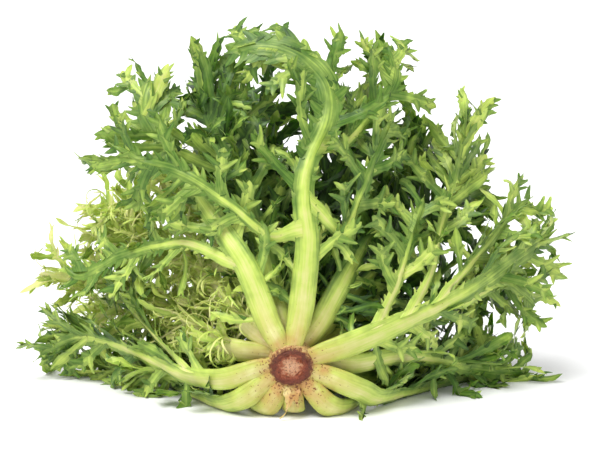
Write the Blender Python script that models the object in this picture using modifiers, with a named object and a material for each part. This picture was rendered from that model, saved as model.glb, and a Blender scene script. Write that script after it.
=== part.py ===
"""A curly endive head, lying on its side with its cut stem to the front.

The head is a short cut stem with 32 leaves round it, in five rings from the outermost leaves to the heart.
Each leaf is one solid: a thick pale rib that flattens towards its tip, with toothed lobes growing from both
of its edges, and on the largest leaves long side ribs that carry lobes of their own. Lengths are in metres.
X runs to the right, Y away from the cut stem, and Z up from the table. The origin is under the middle of
the head.
"""

import math
import random
from dataclasses import dataclass, field

import bpy
from mathutils import Quaternion, Vector
from mathutils.bvhtree import BVHTree

MM = 0.001

# The head: where the middle of the cut face is, and how far the stem's axis rises towards the heart
CUT_PLACE = Vector((-0.1 * MM, -75.4 * MM, 27 * MM))
HEAD_RISE = math.radians(15)
AXIS = Vector((0, math.cos(HEAD_RISE), math.sin(HEAD_RISE)))
UPWARD = Vector((0, -math.sin(HEAD_RISE), math.cos(HEAD_RISE)))
RIGHT = Vector((1, 0, 0))

# The space that the loose head fills, from the table under the middle of the cut face
HEAD_LOW = Vector((-148 * MM, -12 * MM, 0))
HEAD_HIGH = Vector((147 * MM, 172 * MM, 193 * MM))

# The cut stem's outline: distance along its axis from the cut face, and radius
STEM_OUTLINE = ((36, 0), (35.2, 3.2), (31, 5.6), (25, 8.0), (19, 9.8), (13, 11.0), (7, 11.4), (2.2, 11.1),
                (0.5, 10.2), (0, 8.6), (0.9, 6.2), (1.1, 3.0), (0.6, 0))
STEM_SIDES = 20
STEM_GAP = 0.3 * MM

# The rings of leaves: distance along the stem, radius of the stem there, how far the foot leans to the axis
RINGS = {
    1: (3.4 * MM, 11.5 * MM, math.radians(0)),
    2: (9.6 * MM, 11.3 * MM, math.radians(6)),
    3: (15.8 * MM, 10.6 * MM, math.radians(20)),
    4: (22.2 * MM, 8.9 * MM, math.radians(38)),
    5: (29.2 * MM, 6.8 * MM, math.radians(58)),
}

# A rib's half width and half thickness, in millimetres, at shares of its length
RIB_HALF_WIDTH = ((0.0, 2.8), (0.06, 4.8), (0.13, 5.8), (0.32, 5.4), (0.50, 4.4), (0.85, 3.8), (1.0, 0.8))
RIB_HALF_DEPTH = ((0.0, 2.1), (0.10, 2.5), (0.30, 2.0), (0.50, 1.2), (0.8, 0.6), (1.0, 0.42))
SIDE_RIB_HALF_WIDTH = ((0.0, 3.8), (0.15, 3.2), (0.5, 3.2), (0.85, 3.0), (1.0, 0.6))
SIDE_RIB_HALF_DEPTH = ((0.0, 0.9), (0.4, 0.7), (1.0, 0.45))
LOBE_HALF_WIDTH = ((0.0, 2.9), (0.3, 2.2), (0.45, 2.5), (0.68, 3.3), (0.9, 2.2), (1.0, 0.0))
BLADE_HALF_DEPTH = 0.42 * MM

# How blades keep off each other while they grow
CLEARANCE = 1.5 * MM
OWN_CLEARANCE = 1.3 * MM
OWN_FREE_START = 3.2 * MM
SAMPLE_STEP = 1.5 * MM
FLOOR_GAP = 0.42 * MM

# Linear base colours, from the dark outer leaves to the pale heart, and of the browned stem
LEAF_GREENS = {
    "outer": (0.16, 0.30, 0.06),
    "second": (0.20, 0.36, 0.07),
    "third": (0.26, 0.42, 0.09),
    "inner": (0.38, 0.52, 0.14),
    "heart": (0.55, 0.62, 0.22),
}
STEM_BROWN = (0.30, 0.13, 0.08)

RIB_STATIONS = 60
LOBE_STATIONS = 24
PETIOLE_CUTS = (0.0, 0.09, 0.19)
LONG_PETIOLE_CUTS = (0.0, 0.06, 0.13, 0.21)
LAST_LOBE_CUT = 0.95
TOOTH_PLACES = ((2, -1), (2, 1), (1, -1), (1, 1))
TEETH_BY_RING = {1: 4, 2: 4, 3: 3, 4: 2, 5: 2}
# How far the lobes leave the plane of their leaf: the outermost leaves lie open and flat
WILDNESS_BY_RING = {1: 0.5, 2: 0.8, 3: 1.0, 4: 1.0, 5: 1.0}
LOBE_CUTS = (0.0, 0.4, 0.68, 1.0)

# What a lobe tries when its first way is taken: extra lift, extra turn, share of its length
LOBE_TRIES = ((0, 0, 1.0), (28, 0, 1.0), (-28, 0, 1.0), (52, 8, 0.95), (-52, 8, 0.95), (0, 14, 0.75),
              (30, 14, 0.75), (-30, 14, 0.75), (66, 0, 0.7), (-66, 0, 0.7), (18, 0, 0.5), (-18, 0, 0.5),
              (0, 20, 0.36))


@dataclass
class Frond:
    """A rib or lobe: its middle line in even steps, its blade, and what grows from the blade's two edges."""

    points: list
    normals: list
    half_width: tuple
    half_depth: object
    cuts: tuple
    ridged: bool = False
    width_scale: float = 1.0
    teeth: list = field(default_factory=list)
    shoots: list = field(default_factory=list)

    def at(self, share):
        """Place, direction along, direction to the right edge, and outward normal at a share of length."""
        place = min(max(share, 0.0), 1.0) * (len(self.points) - 1)
        low = min(int(place), len(self.points) - 2)
        part = place - low
        point = self.points[low].lerp(self.points[low + 1], part)
        ahead = (self.points[low + 1] - self.points[low]).normalized()
        normal = self.normals[low].lerp(self.normals[low + 1], part)
        normal = (normal - ahead * normal.dot(ahead)).normalized()
        return point, ahead, ahead.cross(normal), normal

    def width_at(self, share):
        return between(self.half_width, share) * MM * self.width_scale

    def depth_at(self, share):
        if isinstance(self.half_depth, tuple):
            return between(self.half_depth, share) * MM * self.width_scale
        return self.half_depth


def between(pairs, share):
    """The value at a share, read off straight lines between the pairs."""
    for (low, first), (high, second) in zip(pairs, pairs[1:]):
        if share <= high:
            return first + (second - first) * (share - low) / (high - low)
    return pairs[-1][1]


def smooth_line(route, count):
    """A smooth line through the route's points, as count + 1 points in even steps."""
    ends = [route[0] * 2 - route[1], *route, route[-1] * 2 - route[-2]]
    fine = [route[0]]
    for a, b, c, d in zip(ends, ends[1:], ends[2:], ends[3:]):
        for step in range(1, 13):
            t = step / 12
            fine.append(0.5 * (b * 2 + (c - a) * t + (a * 2 - b * 5 + c * 4 - d) * t * t
                               + (b * 3 - a - c * 3 + d) * t ** 3))
    return even_steps(fine, count)


def even_steps(line, count):
    """The same line as count + 1 points that are equally far apart along it."""
    reached = [0.0]
    for a, b in zip(line, line[1:]):
        reached.append(reached[-1] + (b - a).length)
    spaced = []
    k = 0
    for i in range(count + 1):
        want = reached[-1] * i / count
        while k < len(line) - 2 and reached[k + 1] < want:
            k += 1
        span = reached[k + 1] - reached[k]
        spaced.append(line[k].lerp(line[k + 1], (want - reached[k]) / span if span else 0.0))
    return spaced


def carried_normals(points, first, twist=0.0):
    """Normals that follow the line with no turn of their own, plus an even twist over its whole length."""
    ahead = (points[1] - points[0]).normalized()
    normal = (first - ahead * first.dot(ahead)).normalized()
    normals = [normal]
    for a, b in zip(points[1:], points[2:]):
        onward = (b - a).normalized()
        turn = ahead.rotation_difference(onward)
        normal = turn @ normal
        normal = Quaternion(onward, twist / (len(points) - 1)) @ normal
        normals.append(normal)
        ahead = onward
    return [*normals, normals[-1]]


def wander(start, ahead, normal, length, turn, curl, twist, ripple, phase):
    """A lobe's middle line and normals. It turns in the blade's plane, curls out of it and twists, and where
    it comes down to the table it lies along it."""
    points = [start.copy()]
    normals = [normal.copy()]
    step = length / LOBE_STATIONS
    for i in range(LOBE_STATIONS):
        share = (i + 0.5) / LOBE_STATIONS
        side = ahead.cross(normal)
        bend = (curl * (0.5 + share) + ripple * math.cos(2 * math.pi * 1.5 * share + phase)) / LOBE_STATIONS
        swing = (turn + 0.6 * ripple * math.sin(2 * math.pi * 1.2 * share + phase)) / LOBE_STATIONS
        ahead = Quaternion(side, bend) @ (Quaternion(normal, swing) @ ahead)
        normal = Quaternion(ahead, twist / LOBE_STATIONS) @ (Quaternion(side, bend) @ normal)
        onward = points[-1] + ahead * step
        if onward.z < FLOOR_GAP:
            onward.z = FLOOR_GAP
            ahead = (onward - points[-1]).normalized()
        normal = (normal - ahead * normal.dot(ahead)).normalized()
        points.append(onward)
        normals.append(normal.copy())
    return points, normals


class Sheet:
    """The middle surface of a leaf, as points with half a thickness each, and faces between them."""

    def __init__(self):
        self.points = []
        self.depths = []
        self.faces = []

    def point(self, place, depth):
        place = place.copy()
        place.z = max(place.z, FLOOR_GAP)
        self.points.append(place)
        self.depths.append(depth)
        return len(self.points) - 1

    def add(self, frond, base=None):
        """Adds a frond and all that it carries, from its own first row or its carrier's edge."""
        rows = []
        for cut in frond.cuts:
            place, _, right, _ = frond.at(cut)
            width, depth = frond.width_at(cut), frond.depth_at(cut)
            if base is not None and cut == 0.0:
                rows.append(base)
            elif cut == 1.0:
                rows.append((self.point(place, min(depth, BLADE_HALF_DEPTH)),))
            else:
                edge = min(depth, BLADE_HALF_DEPTH * 1.2)
                across = [self.point(place - right * width, edge), self.point(place + right * width, edge)]
                if frond.ridged:
                    across.insert(1, self.point(place, depth))
                rows.append(tuple(across))
        for low, high in zip(rows, rows[1:]):
            self.fill(low, high)
        for row, side, tip in frond.teeth:
            self.tooth(rows[row], rows[row + 1], side, tip)
        for row, side, shoot in frond.shoots:
            self.add(shoot, self.edge(rows[row], rows[row + 1], side))

    def fill(self, low, high):
        if len(high) == 1:
            for a, b in zip(low, low[1:]):
                self.faces.append((a, b, high[0]))
            return
        for a, b, c, d in zip(low, low[1:], high[1:], high):
            self.faces.append((a, b, c, d))

    def edge(self, low, high, side):
        """The two points that a shoot on this side starts from, its own left one first."""
        return (low[0], high[0]) if side < 0 else (high[-1], low[-1])

    def tooth(self, low, high, side, tip):
        left, right = self.edge(low, high, side)
        self.faces.append((left, right, self.point(tip, BLADE_HALF_DEPTH * 0.8)))

    def triangles(self):
        split = []
        for face in self.faces:
            split.append(face[:3])
            if len(face) == 4:
                split.append((face[0], face[2], face[3]))
        return split


def edge_of(frond, row, side):
    """The two ends of the stretch of edge that a shoot at this row grows from, its own left one first."""
    ends = []
    for cut in (frond.cuts[row], frond.cuts[row + 1]):
        place, _, right, _ = frond.at(cut)
        ends.append(place + right * frond.width_at(cut) * side)
    return ends if side < 0 else ends[::-1]


def tooth_tip(frond, row, side, reach, lean):
    """The tip of a tooth on the edge between two rows. It leans towards the frond's tip."""
    left, right = edge_of(frond, row, side)
    _, ahead, rightward, _ = frond.at((frond.cuts[row] + frond.cuts[row + 1]) / 2)
    tip = (left + right) / 2 + rightward * side * reach + ahead * reach * lean
    tip.z = max(tip.z, FLOOR_GAP)
    return tip


def spread(a, b, c):
    """Points all over a triangle, no further apart than the sample step."""
    count = max(1, math.ceil(max((a - b).length, (b - c).length, (c - a).length) / SAMPLE_STEP))
    for i in range(count + 1):
        for j in range(count + 1 - i):
            yield a + (b - a) * (i / count) + (c - a) * (j / count)


def sheet_of(frond, row=None, side=None, parent=None):
    """The sheet of one frond alone, starting from its parent's edge if it has one."""
    sheet = Sheet()
    base = None
    if parent is not None:
        base = tuple(sheet.point(place, BLADE_HALF_DEPTH) for place in edge_of(parent, row, side))
    bare = Frond(frond.points, frond.normals, frond.half_width, frond.half_depth, frond.cuts, frond.ridged,
                 frond.width_scale, frond.teeth)
    sheet.add(bare, base)
    return sheet


def solid_faces(sheet):
    """The sheet's two outer faces, close enough to the final solid to keep other blades off it."""
    normals = [Vector((0, 0, 0)) for _ in sheet.points]
    triangles = sheet.triangles()
    for a, b, c in triangles:
        normal = (sheet.points[b] - sheet.points[a]).cross(sheet.points[c] - sheet.points[a])
        for corner in (a, b, c):
            normals[corner] += normal
    points = []
    for sign in (1, -1):
        for place, normal, depth in zip(sheet.points, normals, sheet.depths):
            points.append(place + normal.normalized() * depth * sign)
    count = len(sheet.points)
    return points, triangles + [(a + count, b + count, c + count) for a, b, c in triangles]


class Crowd:
    """All that has grown so far, so that a new blade can be kept clear of it."""

    def __init__(self):
        self.points = []
        self.triangles = []
        self.tree = None

    def add(self, points, triangles):
        start = len(self.points)
        self.points.extend(points)
        self.triangles.extend([tuple(corner + start for corner in triangle) for triangle in triangles])
        self.tree = None

    def meets(self, sheet, gap, root=None):
        """True if the sheet crosses the crowd or is nearer than the gap, except close to the given edge."""
        if not self.triangles:
            return False
        if self.tree is None:
            self.tree = BVHTree.FromPolygons(self.points, self.triangles)
        triangles = sheet.triangles()
        if root is None and self.tree.overlap(BVHTree.FromPolygons(sheet.points, triangles)):
            return True
        for a, b, c in triangles:
            for place in spread(sheet.points[a], sheet.points[b], sheet.points[c]):
                if root is not None and to_edge(place, *root) < OWN_FREE_START:
                    continue
                if self.tree.find_nearest(place, gap)[0] is not None:
                    return True
        return False


def to_edge(place, start, end):
    """The distance from a place to the straight edge between two points."""
    along = (place - start).dot(end - start) / (end - start).length_squared
    return (place - start.lerp(end, min(max(along, 0.0), 1.0))).length


def inside_head(sheet):
    ground = Vector((CUT_PLACE.x, CUT_PLACE.y, 0))
    away = [place - ground for place in sheet.points]
    return all(HEAD_LOW[k] <= place[k] <= HEAD_HIGH[k] for place in away for k in range(3))


def on_head(*places):
    """Points given in millimetres from the table under the cut face."""
    ground = Vector((CUT_PLACE.x, CUT_PLACE.y, 0))
    return [ground + Vector(place) * MM for place in places]


def fanned(plan, rise, reach, sag=0.0, bow=0.0):
    """A leaf's route out of the stem: degrees to the right in plan and up, then reach, sag and bow in mm."""
    plan, rise = math.radians(plan), math.radians(rise)
    ahead = Vector((math.sin(plan) * math.cos(rise), math.cos(plan) * math.cos(rise), math.sin(rise)))
    side = Vector((math.cos(plan), -math.sin(plan), 0))
    crown = CUT_PLACE + AXIS * 16 * MM
    route = []
    for share in (0.24, 0.42, 0.6, 0.8, 1.0):
        place = crown + ahead * reach * share * MM
        place += side * bow * MM * math.sin(math.pi * share) - Vector((0, 0, sag * MM * share ** 2.5))
        place.z = max(place.z, 3.2 * MM)
        route.append(place)
    return route


# Each leaf: name, ring, clock angle in degrees from the top as seen from the cut end, route, width scale,
# number of lobes, length of the lobes in mm, twist in degrees, and side ribs as (row, side, route)
def leaves():
    return [
        ("outer_leaf_top", 1, 5, on_head((4, 4, 50), (6, 5, 65), (8, 6, 89), (6, 10, 111), (9, 16, 127),
                                         (18, 24, 147), (16, 32, 164), (1, 38, 177), (-18, 42, 180),
                                         (-37, 47, 174)), 1.0, 12, 30, 0,
         [(4, -1, on_head((-11, 10, 91), (-30, 12, 106), (-53, 18, 120), (-74, 26, 125), (-90, 34, 133))),
          (5, 1, on_head((25, 12, 92), (34, 20, 109), (43, 32, 129), (52, 44, 147))),
          (8, 1, on_head((26, 28, 133), (38, 38, 144), (52, 50, 163), (48, 58, 180)))]),
        ("outer_leaf_right", 1, 68, on_head((27, 5, 37), (49, 13, 44), (69, 24, 50), (90, 38, 57),
                                            (111, 52, 68), (126, 62, 76), (137, 70, 82)), 1.05, 11, 30, 0,
         [(3, -1, on_head((53, 22, 66), (60, 32, 87), (67, 44, 105))),
          (5, -1, on_head((70, 32, 68), (75, 44, 88), (82, 55, 106), (88, 66, 130), (90, 74, 148))),
          (7, -1, on_head((95, 46, 74), (112, 58, 92), (124, 66, 100))),
          (8, 1, on_head((108, 58, 56), (120, 66, 49), (128, 72, 40)))]),
        ("outer_leaf_lower_right", 1, 108, on_head((27, 4, 18), (35, 8, 13.5), (43, 18, 7), (58, 38, 3.5),
                                                   (80, 60, 2.5), (102, 78, 2.5), (118, 92, 3)), 1.0, 8, 24, 0,
         []),
        ("outer_leaf_under_right", 1, 141, on_head((15.5, 5, 8.6), (21, 8.5, 4.6), (30, 20, 2.8), (44, 56, 2),
                                                   (60, 94, 2), (72, 130, 4)), 0.98, 8, 24, 0, []),
        ("outer_leaf_under", 1, 176, on_head((1.2, 5, 8), (1.2, 8, 4.3), (1.4, 20, 2.2), (1.5, 34, 0.4),
                                             (2.5, 60, 0.4), (4, 90, 2), (4, 122, 3.4), (3, 150, 6)), 0.9, 9, 24,
         0, []),
        ("outer_leaf_under_left", 1, 205, on_head((-9.6, 5, 8.6), (-12.5, 8.5, 4.4), (-19, 20, 2.8),
                                                  (-32, 56, 2), (-44, 92, 2), (-54, 128, 4)), 0.95, 8, 24, 0, []),
        ("outer_leaf_lower_left", 1, 235, on_head((-20, 4, 13), (-27, 8.5, 8), (-36, 20, 3.6), (-54, 46, 2.2),
                                                  (-74, 76, 2.2), (-92, 104, 3)), 0.98, 8, 24, 0, []),
        ("outer_leaf_left", 1, 269, on_head((-26, 4, 22), (-38, 9, 19), (-54, 22, 18), (-72, 40, 21),
                                            (-93, 57, 25), (-110, 67, 25), (-124, 74, 18), (-136, 80, 9)), 1.0,
         10, 28, 0,
         [(4, 1, on_head((-75, 50, 37), (-88, 62, 50), (-101, 74, 62)))]),
        ("outer_leaf_upper_left", 1, 330, on_head((-13, 4, 54), (-22, 8, 76), (-32, 15, 90), (-42, 24, 103),
                                                  (-53, 36, 116), (-65, 47, 132), (-74, 56, 148), (-70, 64, 165)),
         1.0, 11, 28, 0,
         [(4, -1, on_head((-50, 24, 84), (-68, 36, 80), (-88, 48, 72), (-108, 60, 60), (-119, 66, 66)))]),
        ("second_leaf_upper_right", 2, 38, on_head((16, 13, 50), (25, 20, 65), (34, 36, 76), (46, 54, 90),
                                                   (60, 72, 108), (72, 88, 126)), 0.95, 9, 28, 0, []),
        ("second_leaf_right", 2, 89, on_head((30, 12, 26), (51, 25, 26), (71, 44, 20), (93, 60, 11), (110, 70, 6),
                                             (128, 78, 3)), 0.9, 9, 25, 0, []),
        ("second_leaf_lower_left", 2, 249, on_head((-24, 13, 21), (-40, 24, 15), (-62, 42, 11), (-84, 64, 8),
                                                   (-106, 88, 7)), 0.9, 8, 24, 0, []),
        ("second_leaf_left", 2, 283, on_head((-30, 15, 33), (-44, 30, 38), (-60, 50, 43), (-81, 68, 49),
                                             (-106, 84, 54), (-128, 96, 55)), 0.95, 9, 26, 0, []),
        ("second_leaf_upper_left", 2, 312, on_head((-20, 13, 44), (-29, 24, 54), (-42, 40, 64), (-60, 58, 74),
                                                   (-80, 74, 86), (-102, 88, 94)), 0.9, 8, 26, 0, []),
        ("second_leaf_top", 2, 347, on_head((-8, 14, 58), (-16, 22, 90), (-26, 30, 118), (-38, 38, 142),
                                            (-46, 46, 160)), 0.95, 10, 28, 0, []),
        ("third_leaf_top", 3, 344, fanned(-15, 60, 152, 6, 0), 0.85, 9, 27, 0, []),
        ("third_leaf_top_right", 3, 23, fanned(28, 57, 148, 8, -4), 0.85, 9, 27, 0, []),
        ("third_leaf_right", 3, 56, fanned(56, 38, 150, 10, 5), 0.85, 9, 27, 0, []),
        ("third_leaf_lower_right", 3, 124, on_head((20, 26, 20), (38, 38, 12), (62, 58, 8), (88, 80, 7),
                                                   (110, 102, 8)), 0.8, 8, 24, 0, []),
        ("third_leaf_under_left", 3, 204, on_head((-6, 26, 15), (-14, 42, 10), (-24, 68, 8), (-34, 98, 8),
                                                  (-40, 128, 10)), 0.8, 8, 24, 0, []),
        ("third_leaf_lower_left", 3, 257, on_head((-20, 26, 26), (-38, 44, 26), (-62, 70, 27), (-88, 96, 30),
                                                  (-108, 116, 34)), 0.8, 8, 25, 0, []),
        ("third_leaf_upper_left", 3, 316, on_head((-14, 20, 48), (-22, 30, 64), (-32, 46, 78), (-44, 62, 92),
                                                  (-58, 78, 108), (-72, 92, 124)), 0.9, 9, 26, 0, []),
        ("inner_leaf_top", 4, 340, fanned(-30, 50, 142, 8, 5), 0.72, 7, 25, 0, []),
        ("inner_leaf_upper_right", 4, 38, fanned(34, 36, 142, 8, -6), 0.72, 7, 25, 0, []),
        ("inner_leaf_right", 4, 92, fanned(60, 16, 142, 10, 0), 0.72, 7, 24, 0, []),
        ("inner_leaf_lower_right", 4, 150, fanned(24, 5, 142, 4, 4), 0.72, 6, 24, 0, []),
        ("inner_leaf_lower_left", 4, 214, fanned(-20, 12, 142, 6, -4), 0.72, 6, 24, 0, []),
        ("inner_leaf_left", 4, 284, fanned(-56, 26, 140, 8, 4), 0.72, 7, 24, 0, []),
        ("heart_leaf_top", 5, 0, fanned(2, 42, 124, 6, 4), 0.6, 6, 22, 0, []),
        ("heart_leaf_right", 5, 92, fanned(18, 22, 124, 6, 4), 0.6, 6, 22, 0, []),
        ("heart_leaf_lower", 5, 184, fanned(0, 10, 124, 6, -4), 0.6, 6, 22, 0, []),
        ("heart_leaf_left", 5, 276, fanned(-26, 30, 122, 6, 4), 0.6, 6, 22, 0, []),
    ]


def off_stem(place):
    """How far a place is from the stem's side, or from the plane of its cut face if it is in front of that."""
    along = (place - CUT_PLACE).dot(AXIS)
    away = (place - CUT_PLACE - AXIS * along).length
    side = [(reach * MM, radius * MM) for reach, radius in reversed(STEM_OUTLINE[:10])]
    return max(away - between(side, along), -along, along - side[-1][0])


def leaf_rib(ring, clock, route, scale, lobes, twist):
    """The main rib of a leaf, from its foot on the stem along its route."""
    along, radius, lean = RINGS[ring]
    outward = UPWARD * math.cos(math.radians(clock)) + RIGHT * math.sin(math.radians(clock))
    first = outward * math.cos(lean) + AXIS * math.sin(lean)
    petiole = PETIOLE_CUTS if ring > 1 else LONG_PETIOLE_CUTS
    start = petiole[-1] + (petiole[-1] - petiole[-2]) * 0.7
    cuts = (*petiole, *(start + (LAST_LOBE_CUT - start) * k / lobes for k in range(lobes + 1)), 1.0)
    foot = CUT_PLACE + AXIS * along + outward * radius
    while True:
        points = smooth_line([foot, foot + first * 6 * MM, *route], RIB_STATIONS)
        normals = carried_normals(points, outward * math.sin(lean) - AXIS * math.cos(lean), math.radians(twist))
        rib = Frond(points, normals, RIB_HALF_WIDTH, RIB_HALF_DEPTH, cuts, True, scale)
        if min(off_stem(place) for place in skeleton_faces(rib)[0]) > STEM_GAP:
            return rib
        foot = foot + outward * 0.2 * MM


def side_rib(parent, row, side, route):
    """A long rib that leaves another rib's edge and carries lobes of its own."""
    left, right = edge_of(parent, row, side)
    middle = (left + right) / 2
    points = smooth_line([middle, *route], RIB_STATIONS)
    _, _, _, normal = parent.at((parent.cuts[row] + parent.cuts[row + 1]) / 2)
    cuts = (0.0, 0.12, *(0.24 + 0.70 * k / 6 for k in range(7)), 1.0)
    return Frond(points, carried_normals(points, normal), SIDE_RIB_HALF_WIDTH, SIDE_RIB_HALF_DEPTH, cuts)


def lobe_on(parent, row, side, length, draw, attempt):
    """A toothed lobe from the parent's edge, as the draw says, changed as the attempt says."""
    lift, turn, share = attempt
    left, right = edge_of(parent, row, side)
    start = (left + right) / 2
    _, ahead, rightward, normal = parent.at((parent.cuts[row] + parent.cuts[row + 1]) / 2)
    open_angle = draw["open"] + math.radians(turn)
    tilt = draw["lift"] + math.radians(lift)
    level = rightward * side * math.sin(open_angle) + ahead * math.cos(open_angle)
    first = Quaternion(ahead, -tilt * side) @ level
    blade = Quaternion(ahead, -tilt * side) @ normal
    blade = (blade - first * blade.dot(first)).normalized()
    points, normals = wander(start, first, blade, length * share, draw["turn"] * side, draw["curl"],
                             draw["twist"], draw["ripple"], draw["phase"])
    lobe = Frond(points, normals, LOBE_HALF_WIDTH, BLADE_HALF_DEPTH, LOBE_CUTS, False, 0.75 + 0.35 * share)
    for tooth_row, tooth_side, reach in draw["teeth"]:
        tip = tooth_tip(lobe, tooth_row, tooth_side, reach * share * MM, 0.9)
        lobe.teeth.append((tooth_row, tooth_side, tip))
    return lobe


def draw_lobe(chance, teeth, wildness):
    """One lobe's own angles, drawn before it is tried, so that a failed try changes nothing that follows."""
    return {
        "open": math.radians(chance.uniform(42, 66)),
        "lift": math.radians(chance.uniform(-38, 38)) * wildness,
        "turn": math.radians(chance.uniform(-30, 45)),
        "curl": math.radians(chance.uniform(-75, 60)) * wildness,
        "twist": math.radians(chance.uniform(-70, 70)) * wildness,
        "ripple": math.radians(chance.uniform(10, 45)) * wildness,
        "phase": chance.uniform(0, 2 * math.pi),
        "size": chance.uniform(0.8, 1.15),
        "teeth": [(row, side, chance.uniform(4.2, 7.2)) for row, side in TOOTH_PLACES[:teeth]],
    }


def lobe_rows(frond):
    """The rows of a rib that carry lobes, with a side for each, by turns."""
    first = next(k for k, cut in enumerate(frond.cuts) if cut > 0.2)
    return [(row, 1 if row % 2 else -1) for row in range(first, len(frond.cuts) - 2)]


def crossings(leaf):
    """How many faces of a leaf's solid cross each other, not counting faces that meet at a corner."""
    sheet = Sheet()
    sheet.add(leaf)
    points, triangles = solid_faces(sheet)
    count = len(sheet.points)
    edges = {}
    for corners in sheet.triangles():
        for a, b in zip(corners, (*corners[1:], corners[0])):
            edges[min(a, b), max(a, b)] = edges.get((min(a, b), max(a, b)), 0) + 1
    rims = [edge for edge, uses in edges.items() if uses == 1]
    triangles += [(a, b, b + count) for a, b in rims] + [(a, b + count, a + count) for a, b in rims]
    tree = BVHTree.FromPolygons(points, triangles)
    return sum(1 for a, b in tree.overlap(tree) if a < b and not set(triangles[a]) & set(triangles[b]))


def grow_lobes(leaf, rib, length, ring, chance, others, own):
    """Adds lobes and edge teeth to a rib, each clear of the other leaves and of the rest of its own leaf."""
    taken = {(row, side) for row, side, _ in rib.shoots}
    allowed = crossings(leaf)
    for row, side in lobe_rows(rib):
        draw = draw_lobe(chance, TEETH_BY_RING[ring], WILDNESS_BY_RING[ring])
        if (row, side) not in taken:
            place = rib.cuts[row]
            reach = length * MM * draw["size"] * (1.12 - 0.62 * abs(place - 0.5) / 0.5)
            for attempt in LOBE_TRIES:
                lobe = lobe_on(rib, row, side, reach, draw, attempt)
                sheet = sheet_of(lobe, row, side, rib)
                if not inside_head(sheet) or others.meets(sheet, CLEARANCE):
                    continue
                if own.meets(sheet, OWN_CLEARANCE, edge_of(rib, row, side)):
                    continue
                rib.shoots.append((row, side, lobe))
                if crossings(leaf) > allowed:
                    rib.shoots.pop()
                    continue
                own.add(*solid_faces(sheet))
                break
        small = chance.uniform(2.4, 4.6) * MM
        tooth = Sheet()
        tip = tooth_tip(rib, row, -side, small, 0.7)
        corners = (*edge_of(rib, row, -side), tip)
        tooth.faces.append([tooth.point(place, BLADE_HALF_DEPTH) for place in corners])
        if (row, -side) not in taken and not others.meets(tooth, CLEARANCE):
            rib.teeth.append((row, -side, tip))
            if crossings(leaf) > allowed:
                rib.teeth.pop()


def grow_head(stem):
    """All the leaves, as pairs of a name and a main rib that carries everything else of its leaf."""
    made = []
    for number, (name, ring, clock, route, scale, lobes, length, twist, side_ribs) in enumerate(leaves()):
        rib = leaf_rib(ring, clock, route, scale, lobes, twist)
        for row, side, side_route in side_ribs:
            rib.shoots.append((row, side, side_rib(rib, row, side, side_route)))
        made.append((name, rib, length, ring, random.Random(1000 + number)))
    crowd = {name: skeleton_faces(rib) for name, rib, *_ in made}
    for name, rib, length, ring, chance in made:
        others, own = Crowd(), Crowd()
        others.add(*stem)
        for other, faces in crowd.items():
            if other != name:
                others.add(*faces)
        own.add(*crowd[name])
        for _, _, shoot in list(rib.shoots):
            grow_lobes(rib, shoot, length * 0.85, ring, chance, others, own)
        grow_lobes(rib, rib, length, ring, chance, others, own)
        whole = Sheet()
        whole.add(rib)
        crowd[name] = solid_faces(whole)
    return [(name, rib) for name, rib, *_ in made]


def skeleton_faces(rib):
    """The outer faces of a leaf's ribs, before any lobe has grown."""
    sheet = Sheet()
    sheet.add(rib)
    return solid_faces(sheet)


def leaf_material(name, colour, roughness):
    material = bpy.data.materials.new(name)
    material.use_nodes = True
    shader = material.node_tree.nodes["Principled BSDF"]
    shader.inputs["Base Color"].default_value = (*colour, 1)
    shader.inputs["Roughness"].default_value = roughness
    shader.inputs["Metallic"].default_value = 0
    return material


def make_leaf(name, rib, material, collection):
    """A leaf's solid: its middle surface, thickened evenly about it and flattened where it lies down."""
    sheet = Sheet()
    sheet.add(rib)
    mesh = bpy.data.meshes.new(name)
    mesh.from_pydata(sheet.points, [], sheet.faces)
    leaf = bpy.data.objects.new(name, mesh)
    collection.objects.link(leaf)
    thickest = max(sheet.depths)
    group = leaf.vertex_groups.new(name="thickness")
    for corner, depth in enumerate(sheet.depths):
        group.add([corner], depth / thickest, "REPLACE")
    thicken = leaf.modifiers.new("thicken", "SOLIDIFY")
    thicken.thickness = 2 * thickest
    thicken.offset = 0
    thicken.vertex_group = group.name
    triangulate = leaf.modifiers.new("triangulate", "TRIANGULATE")
    triangulate.quad_method = "FIXED"
    graph = bpy.context.evaluated_depsgraph_get()
    solid = bpy.data.meshes.new_from_object(leaf.evaluated_get(graph))
    for vertex in solid.vertices:
        vertex.co.z = max(vertex.co.z, 0.0)
    leaf.modifiers.clear()
    leaf.data = solid
    solid.materials.clear()
    solid.materials.append(material)
    return leaf


def make_stem(material, collection):
    """The cut stem: an outline turned about the head's axis."""
    outline = [Vector((radius * MM, 0, along * MM)) for along, radius in STEM_OUTLINE]
    mesh = bpy.data.meshes.new("cut_stem")
    mesh.from_pydata(outline, [(k, k + 1) for k in range(len(outline) - 1)], [])
    stem = bpy.data.objects.new("cut_stem", mesh)
    collection.objects.link(stem)
    turned = stem.modifiers.new("turned", "SCREW")
    turned.steps = turned.render_steps = STEM_SIDES
    turned.use_merge_vertices = True
    turned.merge_threshold = 0.00001
    stem.location = CUT_PLACE
    stem.rotation_mode = "QUATERNION"
    stem.rotation_quaternion = Vector((0, 0, 1)).rotation_difference(AXIS)
    mesh.materials.append(material)
    return stem


def outer_faces(thing):
    """An object's points in the head's frame, and its triangles."""
    bpy.context.view_layer.update()
    shown = thing.evaluated_get(bpy.context.evaluated_depsgraph_get())
    mesh = shown.to_mesh()
    mesh.calc_loop_triangles()
    points = [shown.matrix_world @ vertex.co for vertex in mesh.vertices]
    return points, [tuple(triangle.vertices) for triangle in mesh.loop_triangles]


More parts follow.
